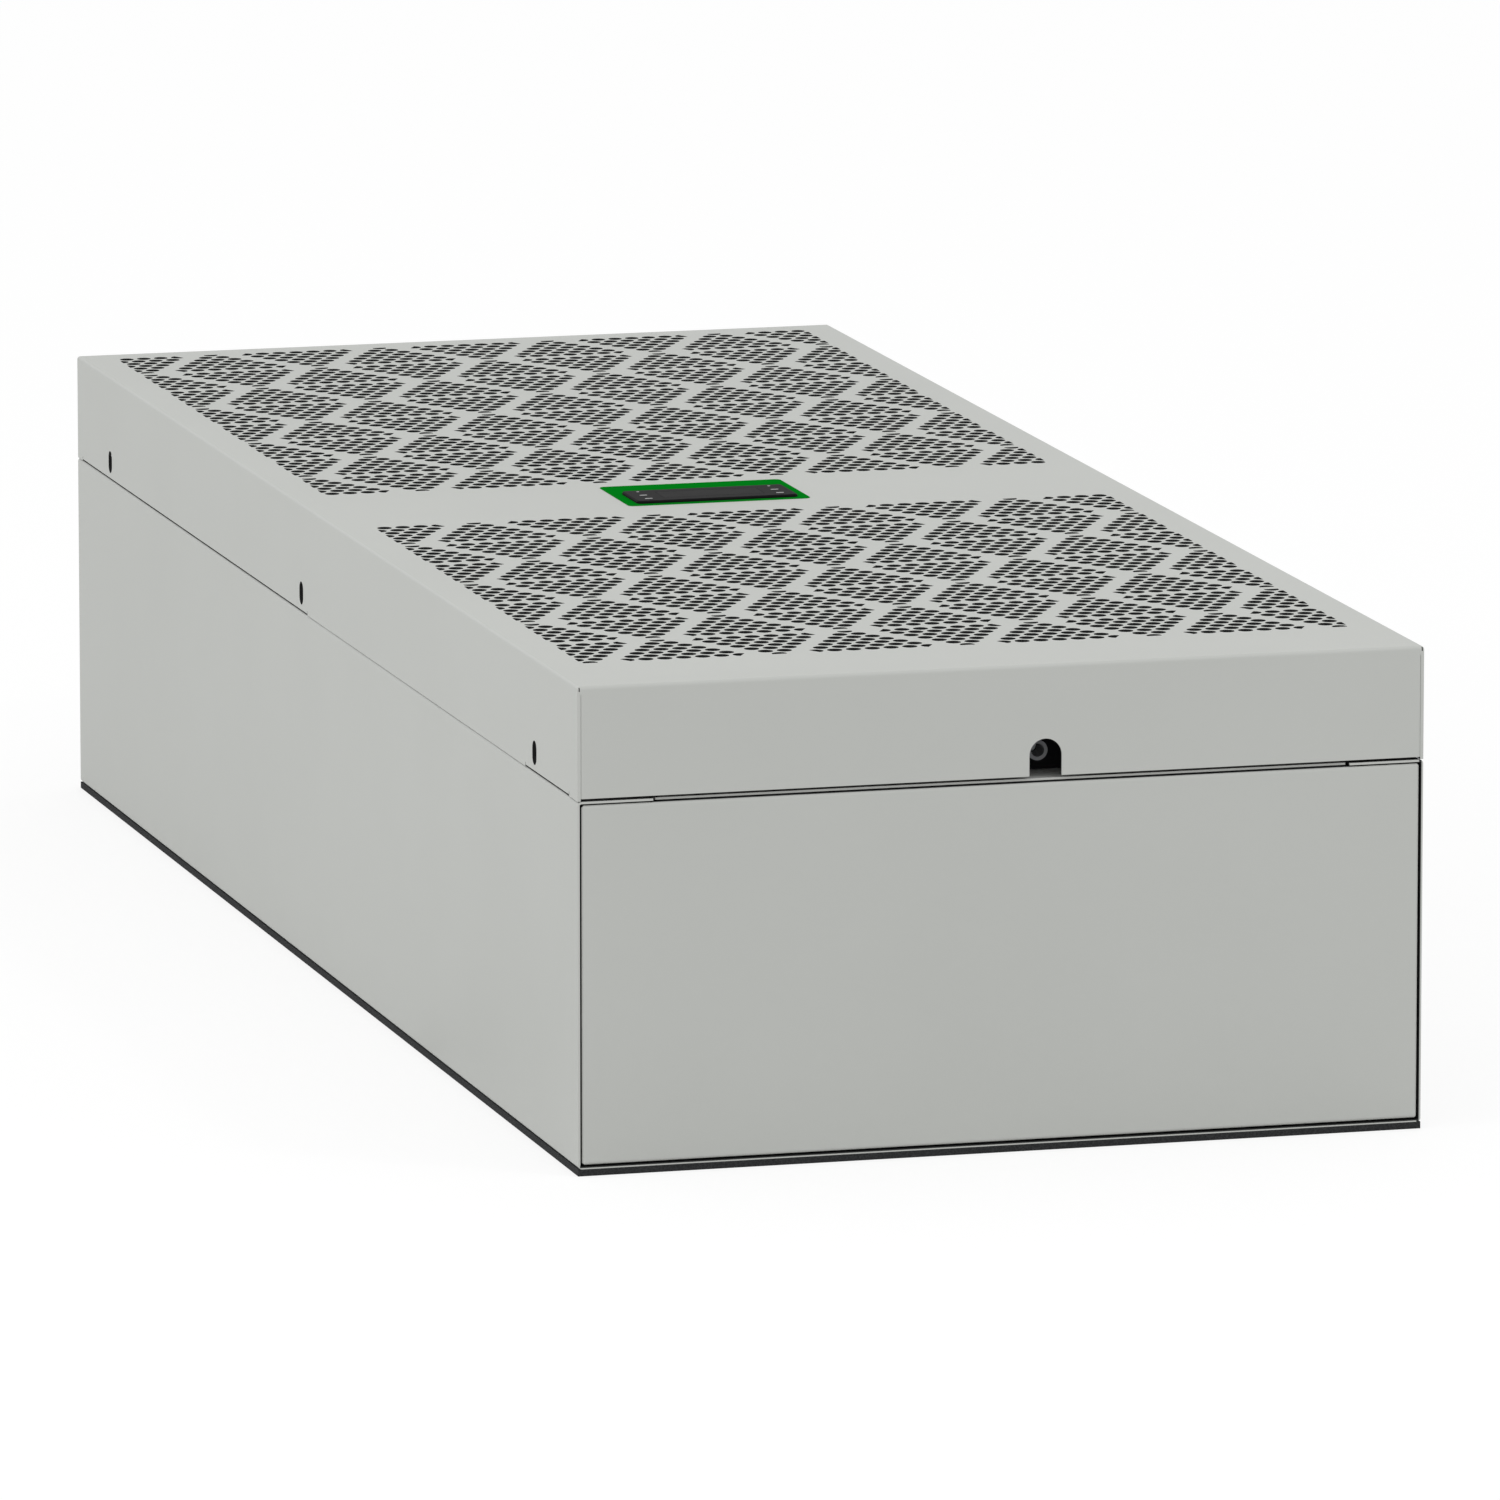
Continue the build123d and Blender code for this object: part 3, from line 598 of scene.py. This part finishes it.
punches = bmesh.new()
places = []
for start, half_rows, first_points_up in grilles:
    for row in range(half_rows):
        for column in range(-columns_each_side, columns_each_side + 1):
            points_up = ((row + column) % 2 == 0) == first_points_up
            base = start + (row if points_up else row + 1) * half_row_height
            places.append(at(column * column_step, base, 0, 0 if points_up else 180))
stamp(punches, patch_mesh, places)
for side in (-1, 1):
    trim(punches, Vector((side * clip * mm, 0, 0)), Vector((side, 0, 0)))
print("punch vertices:", len(punches.verts))

# %% [markdown]
# The same press cuts what else goes through the hood: three upright screw slots in each side, the
# round-topped notch for the drain hose, and the display's opening. Along the lower edge the
# flanges are cut back in long stretches, which leave a dark line, and each cut-back ends in a
# narrow relief. At a corner the end flange meets the side flange in a fine groove, with a relief
# at its top that keeps the corner from tearing in the fold. Punches that reach into each other
# would confuse the Boolean, so what overlaps a first cut waits for a second and a third press.

# %% Slots, notch and display opening
slot_low, slot_high = 175.75, 187.05
slot_half_width = 3.75
slot_rows = (-423.5, 20.5, 427.0)
notch_x, notch_radius, notch_top = 19.8, 7.6, 190.7
display_half_width, display_half_length = 35.2, 12.7
cut_past = 4
nearly_half = 0.999    # two bevels that meet exactly would leave faces without area


def edges_along(verts, axis):
    """The edges at a box's vertices that run along one axis, 0 to 2 for X to Z."""
    edges = dict.fromkeys(edge for vert in verts for edge in vert.link_edges)
    return [edge for edge in edges
            if abs(edge.verts[0].co[axis] - edge.verts[1].co[axis]) > 0.01 * mm]


def through(side, half, inset=cut_past):
    """Where a punch starts and ends that enters one side of the hood, lowest first."""
    return sorted((side * (half - inset), side * (half + cut_past)))


for side in (-1, 1):
    low, high = through(side, hood_half_width)
    for y in slot_rows:
        verts = add_box(punches, (low, y - slot_half_width, slot_low),
                        (high, y + slot_half_width, slot_high))
        round_edges(punches, edges_along(verts, 0), slot_half_width * nearly_half, 6)

trims = bmesh.new()
notch = add_box(trims, (notch_x - notch_radius, -hood_half_length - cut_past, hood_base - 2),
                (notch_x + notch_radius, -hood_half_length + cut_past, notch_top))
arch_edges = [edge for edge in edges_along(notch, 1) if edge.verts[0].co.z > (notch_top - 1) * mm]
round_edges(trims, arch_edges, notch_radius * nearly_half, 12)
window_low, window_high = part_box("display_window")
display_x = (window_low.x + window_high.x) / 2 / mm
display_y = (window_low.y + window_high.y) / 2 / mm
add_box(punches, (display_x - display_half_width, display_y - display_half_length, punch_low),
        (display_x + display_half_width, display_y + display_half_length, punch_high))
print("punch vertices with slots:", len(punches.verts))

# %% Cut-backs, reliefs and corner grooves
joint_relief = 0.75
end_relief = 1.1
cut_back_rows = ((-485.0, -407.5), (8.5, 489.0))
relief_width, relief_rise = 0.5, 2.0
groove_width, groove_depth = 0.3, 0.3
mark_width, mark_length, mark_depth, mark_inset = 0.5, 1.8, 1.1, 0.9
mark_high = hood_top - hood_bend / 3
groove_high = hood_top - hood_bend - mark_length - 0.5
side_sheet_inside = hood_half_width - hood_sheet
grooves = bmesh.new()

for side in (-1, 1):
    low, high = through(side, hood_half_width)
    for y_low, y_high in cut_back_rows:
        add_box(punches, (low, y_low, hood_base - 2), (high, y_high, hood_base + joint_relief))
        for y in (y_low, y_high):
            add_box(trims, (low, y - relief_width / 2, hood_base - 1),
                    (high, y + relief_width / 2, hood_base + relief_rise))
for end in (-1, 1):
    y_low, y_high = through(end, hood_half_length)
    add_box(punches, (-side_sheet_inside, y_low, hood_base - 3),
            (side_sheet_inside, y_high, hood_base + end_relief))
    skin = through(end, hood_half_length, groove_depth)
    notched = through(end, hood_half_length, mark_depth)
    for side in (-1, 1):
        groove = sorted((side * side_sheet_inside, side * (side_sheet_inside - groove_width)))
        add_box(grooves, (groove[0], skin[0], hood_base - 1), (groove[1], skin[1], groove_high))
        mark = side * (hood_half_width - mark_inset)
        add_box(trims, (mark - mark_width / 2, notched[0], mark_high - mark_length),
                (mark + mark_width / 2, notched[1], mark_high))
print("vertices of the second press:", len(trims.verts) + len(grooves.verts))

# %% Punch the hood
sharp_angle = radians(20)


def keep_modifiers(piece):
    """Makes the modifiers' result the piece's own mesh."""
    seen = piece.evaluated_get(bpy.context.evaluated_depsgraph_get())
    mesh = bpy.data.meshes.new_from_object(seen)
    piece.modifiers.clear()
    old = piece.data
    piece.data = mesh
    bpy.data.meshes.remove(old)
    for polygon in mesh.polygons:
        polygon.use_smooth = not is_square(polygon.normal)
    mesh.set_sharp_from_angle(angle=sharp_angle)


def press(piece, bm, finish_index):
    """Takes a bmesh of punches out of a piece. The cut faces get one of the piece's finishes."""
    bmesh.ops.recalc_face_normals(bm, faces=bm.faces)
    for face in bm.faces:
        face.material_index = finish_index
    mesh = as_stamp(bm)
    for finish in piece.data.materials:
        mesh.materials.append(finish)
    punch = bpy.data.objects.new("punch", mesh)
    bpy.context.collection.objects.link(punch)
    cut = piece.modifiers.new("punch", "BOOLEAN")
    cut.operation = "DIFFERENCE"
    cut.solver = "MANIFOLD"
    cut.object = punch
    keep_modifiers(piece)
    bpy.data.objects.remove(punch)
    bpy.data.meshes.remove(mesh)


# The walls of the holes, slots, notch, reliefs and corner marks get the dark grey of painted shade.
# The grooves keep the powder coat.
press(hood, punches, 1)
press(hood, trims, 1)
press(hood, grooves, 0)
# The second count is of the faces that carry painted shade.
print("hood triangles:", sum(len(p.vertices) - 2 for p in hood.data.polygons), "of them painted shade:",
      sum(len(p.vertices) - 2 for p in hood.data.polygons if p.material_index == 1))

# %% [markdown]
# ## Screws behind the slots
#
# Each slot in the hood's sides lets a driver reach a screw on the tab behind it. The heads are low
# pan heads with a star-shaped recess. A profile turned about its axis makes a head, and every
# second pair of the recess's corners is drawn in to make the star.

# %% Pan heads with a star recess
head_radius, head_height = 3.4, 2.2
recess_radius, recess_depth = 1.7, 1.1
star_sides, star_waist = 24, 0.72

bm = bmesh.new()
add_turned(bm, [(0, 0), (head_radius, 0), (head_radius, head_height * 0.45),
                (head_radius * 0.82, head_height * 0.85), (head_radius * 0.6, head_height),
                (recess_radius, head_height), (recess_radius, head_height - recess_depth),
                (0, head_height - recess_depth)], star_sides, Matrix())
for index in range(star_sides):
    if index % 4 < 2:
        bearing = 2 * pi * index / star_sides
        corner = Vector((cos(bearing), sin(bearing), 0)) * recess_radius * mm
        near = [vert for vert in bm.verts if (vert.co.xy - corner.xy).length < 0.01 * mm]
        bmesh.ops.scale(bm, vec=(star_waist, star_waist, 1), verts=near)
head_mesh = as_stamp(bm)

tab_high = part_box("right_cover_tabs")[1]
screws = bmesh.new()
slot_middle = (slot_low + slot_high) / 2
stamp(screws, head_mesh, [at(side * tab_high.x / mm, y, slot_middle)
                          @ Matrix.Rotation(side * pi / 2, 4, "Y")
                          for side in (-1, 1) for y in slot_rows])
make_piece("cover_screws", screws, (blackened_steel,))

# %% [markdown]
# ## Marks beside the display
#
# Three small marks are printed at each end of the display's frame. They are plain: a dot and two
# short bars. They are thin prisms, since ink has a thickness.

# %% Printed marks
ink_thickness, ink_sunk = 0.04, 0.02
bezel_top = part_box("display_bezel")[1].z / mm
print_columns, print_rows = (-36.8, 29.0), (1.6, -8.8, -18.8)
print_lengths, print_width = (1.4, 3.8, 3.8), 1.4

marks = bmesh.new()
for x in print_columns:
    for y, length in zip(print_rows, print_lengths):
        verts = add_box(marks, (x - length / 2, y - print_width / 2, bezel_top - ink_sunk),
                        (x + length / 2, y + print_width / 2, bezel_top + ink_thickness))
        round_edges(marks, edges_along(verts, 2), print_width * 0.4, 4)
make_piece("display_marks", marks, (pale_ink,))

# %% [markdown]
# ## The coils
#
# A coil is a pack of thin aluminium fins pressed onto copper tubes. The tubes run across the unit,
# and U-shaped return bends join them in pairs outside the end plates. The fins are pressed into
# waves, which stir the air. Nobody can look through such a pack, so the tubes inside it are left
# out. A fin is one edge extruded to and fro with a few faces, since there are many, and it is
# drawn thicker than a real one. A bend is half a turn of a circle, spun.

# %% Fins and return bends
fin_thickness, fin_pitch = 0.25, 2.1
fin_waves, wave_height = 8, 2.0
fin_inset = 1
end_plate = 1.6
tube_radius = 4.76
tube_spacing = 25.4
bend_stub = 4.0


def pull_edges(bm, edges, way):
    """Extrudes edges by a way in millimetres. Returns the new vertices and edges."""
    moved = bmesh.ops.extrude_edge_only(bm, edges=edges)["geom"]
    verts = [item for item in moved if isinstance(item, BMVert)]
    bmesh.ops.translate(bm, verts=verts, vec=Vector(way) * mm)
    return verts, [item for item in moved if isinstance(item, BMEdge)]


def wavy_fin(low, high, step_axis, row_axis):
    """One fin across X that fills the box's height and depth, with its waves along the rows."""
    bm = bmesh.new()
    start = Vector((0, low.y + fin_inset, low.z + fin_inset))
    end = start.copy()
    end[step_axis] = high[step_axis] - fin_inset
    edges = [bm.edges.new([bm.verts.new(corner * mm) for corner in (start, end)])]
    for index in range(fin_waves):
        way = Vector((wave_height * (1 - index % 2 * 2), 0, 0))
        way[row_axis] = (high[row_axis] - low[row_axis] - 2 * fin_inset) / fin_waves
        edges = pull_edges(bm, edges, way)[1]
    bmesh.ops.recalc_face_normals(bm, faces=bm.faces)
    bmesh.ops.solidify(bm, geom=bm.faces[:], thickness=fin_thickness * mm)
    return as_stamp(bm)


def add_fins(bm, low, high, fin_mesh):
    """Fills a box in millimetres with fins across X, between two end plates. Returns their number."""
    room = high.x - low.x - 2 * end_plate - wave_height
    count = int(room / fin_pitch)
    stamp(bm, fin_mesh, [at(low.x + end_plate + room * index / count, 0, 0)
                         for index in range(1, count)])
    for x in (low.x, high.x - end_plate):
        add_box(bm, (x, low.y, low.z), (x + end_plate, high.y, high.z))
    return count - 1


def return_bend():
    """One U-bend that joins two tubes a spacing apart along Y, and bulges towards +X."""
    bm = bmesh.new()
    bmesh.ops.create_circle(bm, segments=12, radius=tube_radius * mm,
                            matrix=at(-bend_stub, -tube_spacing / 2, 0, 90, "Y"))
    rim, edges = pull_edges(bm, bm.edges[:], (bend_stub, 0, 0))
    turned = bmesh.ops.spin(bm, geom=rim + edges, cent=(0, 0, 0), axis=(0, 0, 1), angle=pi, steps=10)
    edges = [item for item in turned["geom_last"] if isinstance(item, BMEdge)]
    pull_edges(bm, edges, (-bend_stub, 0, 0))
    close_holes(bm)
    return as_stamp(bm)


def make_coil(node, material, across, rows):
    """Replaces a coil's solid by fins and bends. The tubes step across Y or Z, in some rows."""
    low, high = (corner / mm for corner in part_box(node))
    step_axis = "YZ".index(across) + 1
    row_axis = 3 - step_axis
    fins = bmesh.new()
    count = add_fins(fins, low, high, wavy_fin(low, high, step_axis, row_axis))
    make_piece(node + "_fins", fins, (material,), (node,))
    places = []
    tubes = int((high[step_axis] - low[step_axis]) / tube_spacing)
    first = (low[step_axis] + high[step_axis]) / 2 - (tubes - 1) / 2 * tube_spacing
    turn = Matrix.Rotation(radians(90 if across == "Z" else 0), 4, "X")
    for row in range(rows):
        for side in (-1, 1):
            for tube in range(0 if side > 0 else 1, tubes - 1, 2):
                place = Vector((high.x if side > 0 else low.x, 0, 0))
                place[step_axis] = first + (tube + 0.5) * tube_spacing
                place[row_axis] = (low[row_axis] + (row + 0.5) / rows
                                   * (high[row_axis] - low[row_axis]))
                flip = Matrix.Rotation(0 if side > 0 else pi, 4, "Z")
                places.append(at(*place) @ flip @ turn)
    bends = bmesh.new()
    stamp(bends, return_bend(), places)
    make_piece(node + "_bends", bends, (copper,))
    print(node, count, "fins")


make_coil("condenser_coil", coated_fins, "Y", 2)
make_coil("evaporator_coil", bare_fins, "Z", 3)

# %% [markdown]
# ## The fans
#
# The axial fan is one moulding. Its blades are steep at the hub and flat at the tip, because the
# tip moves faster, and each blade is swept and hollow like a scoop. A grid is shaped column by
# column: every column gets its own width, pitch and sweep, and then the sheet gets its thickness.

# %% Axial fan
fan_low, fan_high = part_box("condenser_fan_rotor")
fan_bottom, fan_top = fan_low.z / mm, fan_high.z / mm
plate_low, plate_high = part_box("condenser_fan_plate")
fan_y = (plate_low.y + plate_high.y) / 2 / mm
hub_radius, tip_radius = 44.0, 112.0
blade_sunk, blade_thickness, blade_drop = 3, 1.8, 2.5
fan_blades = 5
columns = 9
chords, pitches, scoops = (58, 74), (31, 22), (7, 5)    # at the root and at the tip
tip_sweep = 16


def between(ends, share):
    """The value at a share of the way from a blade's root to its tip."""
    return ends[0] + (ends[1] - ends[0]) * share


blade = bmesh.new()
bmesh.ops.create_grid(blade, x_segments=columns - 1, y_segments=6, size=0.5)
for share in [column / (columns - 1) for column in range(columns)]:
    verts = [vert for vert in blade.verts if abs(vert.co.x - (share - 0.5)) < 0.01]
    for vert in verts:
        height = between(scoops, share) * (1 - 4 * vert.co.y ** 2)
        vert.co = Vector((0, vert.co.y * between(chords, share), height)) * mm
    pitch, sweep = radians(between(pitches, share)), radians(tip_sweep * share ** 2)
    bmesh.ops.rotate(blade, verts=verts, matrix=Matrix.Rotation(pitch, 3, "X"))
    radius = between((hub_radius - blade_sunk, tip_radius), share)
    bmesh.ops.translate(blade, verts=verts, vec=(radius * mm, 0, 0))
    bmesh.ops.rotate(blade, verts=verts, matrix=Matrix.Rotation(sweep, 3, "Z"))
bmesh.ops.recalc_face_normals(blade, faces=blade.faces)
bmesh.ops.solidify(blade, geom=blade.faces[:], thickness=blade_thickness * mm)

fan = bmesh.new()
add_turned(fan, [(0, fan_bottom), (hub_radius - 1, fan_bottom), (hub_radius, fan_bottom + 1),
                 (hub_radius, fan_top - 4), (hub_radius - 1.2, fan_top - 1.2),
                 (hub_radius - 4, fan_top), (31, fan_top), (29, fan_top - 1.6), (9, fan_top - 1.6),
                 (8, fan_top - 0.4), (0, fan_top - 0.4)], 60, at(0, fan_y, 0))
stamp(fan, as_stamp(blade), [at(0, fan_y, (fan_bottom + fan_top) / 2 - blade_drop,
                                360 / fan_blades * index) for index in range(fan_blades)])
make_piece("axial_fan", fan, (black_plastic,), ("condenser_fan_rotor",))

# %% [markdown]
# The radial wheel behind the finger guard draws air in through its eye and throws it out between
# backward-curved blades. A blade is an upright edge, spun about a point beside it into a curved
# sheet. The shroud round the eye is a turned ring, dished so that the air follows it.

# %% Radial wheel
wheel_low, wheel_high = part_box("evaporator_fan_wheel")
wheel_bottom, wheel_top = wheel_low.z / mm, wheel_high.z / mm
motor_low, motor_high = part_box("evaporator_fan_motor")
wheel_y = (motor_low.y + motor_high.y) / 2 / mm
wheel_radius, eye_radius = 77.9, 49.0
curve_radius = 62.0
wheel_blades = 7
wheel_wall = 1.6
blade_root, blade_tip, blade_lean = eye_radius + 1.5, wheel_radius - 0.4, -38

inner = Vector((blade_root, 0, 0))
outer = Matrix.Rotation(radians(blade_lean), 3, "Z") @ Vector((blade_tip, 0, 0))
half_chord = (outer - inner) / 2
beside = Vector((0, 0, 1)).cross(half_chord).normalized()
curve_middle = inner + half_chord + beside * sqrt(curve_radius ** 2 - half_chord.length_squared)
curve_angle = 2 * asin(half_chord.length / curve_radius)

blade = bmesh.new()
foot = blade.verts.new((inner + Vector((0, 0, wheel_bottom + wheel_wall))) * mm)
head = blade.verts.new((inner + Vector((0, 0, wheel_top - wheel_wall))) * mm)
edge = blade.edges.new((foot, head))
bmesh.ops.spin(blade, geom=[foot, head, edge], cent=curve_middle * mm, axis=(0, 0, 1),
               angle=curve_angle, steps=8)
reached = max(vert.co.xy.length for vert in blade.verts) / mm
bmesh.ops.solidify(blade, geom=blade.faces[:], thickness=wheel_wall * mm)

wheel = bmesh.new()
add_turned(wheel, [(eye_radius, wheel_bottom), (52, wheel_bottom), (58, wheel_bottom + 1.2),
                   (wheel_radius, wheel_bottom + 2.2), (wheel_radius, wheel_bottom + 4.2),
                   (57, wheel_bottom + 3.2), (51, wheel_bottom + 2), (eye_radius, wheel_bottom + 2),
                   (eye_radius, wheel_bottom)], 60, at(0, wheel_y, 0))
add_turned(wheel, [(0, wheel_top - 12), (14, wheel_top - 12), (20, wheel_top - 9),
                   (28, wheel_top - 2), (wheel_radius, wheel_top - 2), (wheel_radius, wheel_top),
                   (0, wheel_top)], 60, at(0, wheel_y, 0))
stamp(wheel, as_stamp(blade), [at(0, wheel_y, 0, 360 / wheel_blades * index)
                               for index in range(wheel_blades)])
make_piece("radial_wheel", wheel, (black_plastic,), ("evaporator_fan_wheel",))
print("blade reaches radius", round(reached, 1), "of", wheel_radius)

# %% [markdown]
# ## The compressor
#
# The compressor's case is two drawn cups and a tube, welded round. Its profile is turned about the
# long axis, with the two weld beads standing nearly a millimetre proud.

# %% Compressor case
shell_low, shell_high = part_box("compressor")
shell_length = (shell_high.y - shell_low.y) / mm
shell_radius = (shell_high.z - shell_low.z) / 2 / mm - 1    # less the room for the beads
bead_height, bead_slope, bead_width = 0.9, 1, 4.5
case = bmesh.new()
profile = [(0, 0), (shell_radius - 4, 0), (shell_radius, 4)]
for bead in (30, shell_length - 46):
    profile += [(shell_radius, bead), (shell_radius + bead_height, bead + bead_slope),
                (shell_radius + bead_height, bead + bead_width - bead_slope),
                (shell_radius, bead + bead_width)]
profile += [(shell_radius, shell_length - 20), (shell_radius - 3, shell_length - 12),
            (shell_radius - 12, shell_length - 5), (shell_radius - 30, shell_length - 1),
            (0, shell_length)]
shell_middle = (shell_low + shell_high) / 2 / mm
add_turned(case, profile, 64, at(shell_middle.x, shell_low.y / mm, shell_middle.z, -90, "X"))
make_piece("compressor_case", case, (black_enamel,), ("compressor",))

# %% [markdown]
# ## Contacts and threads on the mounting face
#
# The plug connector holds five turned brass pins. The inserts that take the fixing screws have an
# M6 thread: a triangular ridge with a pitch of 1 mm, made by spinning a small triangle while it
# climbs.

# %% Plug pins and insert threads
plug_low, plug_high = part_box("power_connector")
plug_middle = (plug_low + plug_high) / 2 / mm
pin_tip, pin_root = plug_low.z / mm + 2.6, plug_low.z / mm + 10.2
tip_half, pin_half, tip_length, pin_spacing = 0.7, 1.3, 0.8, 9
pins = bmesh.new()
for place in range(-2, 3):
    add_turned(pins, [(0, pin_tip), (tip_half, pin_tip), (pin_half, pin_tip + tip_length),
                      (pin_half, pin_root), (0, pin_root)], 16,
               at(plug_middle.x + place * pin_spacing, plug_middle.y, 0))
make_piece("plug_pins", pins, (brass,))

insert_low, insert_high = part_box("mounting_inserts")
insert_columns, insert_rows = (-175, 175), (-450, 0, 450)
thread_pitch, thread_crest, thread_root, ridge_width = 1.0, 2.5, 3.04, 0.8
steps_in_turn = 20
thread_turns = int((insert_high.z - insert_low.z) / mm / thread_pitch) - 2
thread = bmesh.new()
start = insert_low.z / mm + 0.6
corners = [thread.verts.new((radius * mm, 0, (start + rise) * mm))
           for radius, rise in ((thread_root, 0), (thread_crest, ridge_width / 2),
                                (thread_root, ridge_width))]
sides = [thread.edges.new((corners[index], corners[index - 1])) for index in range(3)]
bmesh.ops.spin(thread, geom=corners + sides, cent=(0, 0, 0), axis=(0, 0, 1),
               dvec=(0, 0, thread_pitch / steps_in_turn * mm), angle=2 * pi * thread_turns,
               steps=steps_in_turn * thread_turns)
close_holes(thread)
thread_high = max(vert.co.z for vert in thread.verts) / mm
threads = bmesh.new()
stamp(threads, as_stamp(thread), [at(x, y, 0) for x in insert_columns for y in insert_rows])
make_piece("insert_threads", threads, (bright_zinc,))
print("thread from", round(start, 1), "to", round(thread_high, 1), "mm")

# %% [markdown]
# ## Floor, light and camera
#
# The photograph is a studio shot on pure white, with no hard shadow. A sky of even brightness
# lights the unit from all sides, a wide lamp on the left shapes it, and the white floor sends
# some light back up. It lies a tenth of a millimetre under the foam, so that the two faces don't
# coincide. A small lamp stands where the fold along the near upper edge would mirror it to the
# camera. The coat is too rough to show a line there, so the lamp only lifts the fold's tone a
# little. The camera sees floor and sky as plain white.

# %% Floor
floor_reach, floor_drop = 15, 0.1 * mm
bm = bmesh.new()
bmesh.ops.create_grid(bm, x_segments=1, y_segments=1, size=floor_reach,
                      matrix=Matrix.Translation((0, 0, -floor_drop)))
floor_mesh = bpy.data.meshes.new("studio_floor")
bm.to_mesh(floor_mesh)
bm.free()
floor = bpy.data.objects.new("studio_floor", floor_mesh)
bpy.context.collection.objects.link(floor)
floor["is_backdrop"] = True


def shown_white(owner):
    """An output that is 1 for the rays that show the background, and 0 for those that light."""
    ray = add(owner, "LightPath").outputs
    seen = add(owner, "Math", {0: ray["Is Camera Ray"], 1: ray["Is Glossy Ray"]},
               operation="MAXIMUM")
    return add(owner, "Math", {0: seen.outputs[0], 1: ray["Is Transmission Ray"]},
               operation="MAXIMUM").outputs[0]


white_floor = bpy.data.materials.new("white_floor")
white_floor.use_nodes = True
white_floor.node_tree.nodes.clear()
matt = add(white_floor, "BsdfDiffuse", {"Color": (0.8, 0.8, 0.8, 1)})
soft = add(white_floor, "BsdfDiffuse", {"Color": (0.25, 0.25, 0.25, 1)})
glow = add(white_floor, "Emission", {"Color": (1, 1, 1, 1), "Strength": 0.78})
white = add(white_floor, "AddShader", {0: soft.outputs[0], 1: glow.outputs[0]})
both = add(white_floor, "MixShader", {0: shown_white(white_floor), 1: matt.outputs[0],
                                      2: white.outputs[0]})
add(white_floor, "OutputMaterial", {"Surface": both.outputs[0]})
floor_mesh.materials.append(white_floor)

# %% Sky and lamp
world = bpy.data.worlds.new("studio")
bpy.context.scene.world = world
world.use_nodes = True
world.node_tree.nodes.clear()
sky_level = 0.83
level = add(world, "MapRange", {"Value": shown_white(world), "To Min": sky_level, "To Max": 1.0})
sky = add(world, "Background", {"Color": (1, 1, 1, 1), "Strength": level.outputs["Result"]})
add(world, "OutputWorld", {"Surface": sky.outputs[0]})


def add_lamp(name, place, aim, size, power):
    """Adds a square lamp that faces a point."""
    lamp = bpy.data.lights.new(name, "AREA")
    lamp.size = size
    lamp.energy = power
    stand = bpy.data.objects.new(name, lamp)
    bpy.context.collection.objects.link(stand)
    stand.location = place
    stand.rotation_euler = (Vector(aim) - Vector(place)).to_track_quat("-Z", "Y").to_euler()
    stand.visible_camera = False


add_lamp("left_lamp", place=(-2.8, -0.9, 1.7), aim=(0, 0, 0.1), size=1.4, power=12.0)
add_lamp("fold_lamp", place=(0.632, -1.124, 1.633), aim=(0.2, -0.5, 0.225), size=0.15, power=2.0)
print("sky level", sky_level)

# %% [markdown]
# The camera stands 7.4 m away with a long lens, which is why the long edges hardly converge. Place
# and lens come from matching the unit's corners in the photograph.

# %% Camera
camera_place = Vector((-1.9108, -6.9655, 1.4207))
view_direction = Vector((0.26264205, 0.94793395, -0.18011211))
lens = bpy.data.cameras.new("photo_camera")
lens.sensor_width = 36.0
lens.lens = 362.638
lens.clip_end = 100.0
camera = bpy.data.objects.new("photo_camera", lens)
bpy.context.collection.objects.link(camera)
camera.location = camera_place
camera.rotation_euler = view_direction.to_track_quat("-Z", "Y").to_euler()
bpy.context.scene.camera = camera
bpy.context.scene.view_settings.view_transform = "Standard"
print("camera", round(camera_place.length, 2), "m away, lens", lens.lens, "mm")

low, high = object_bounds()
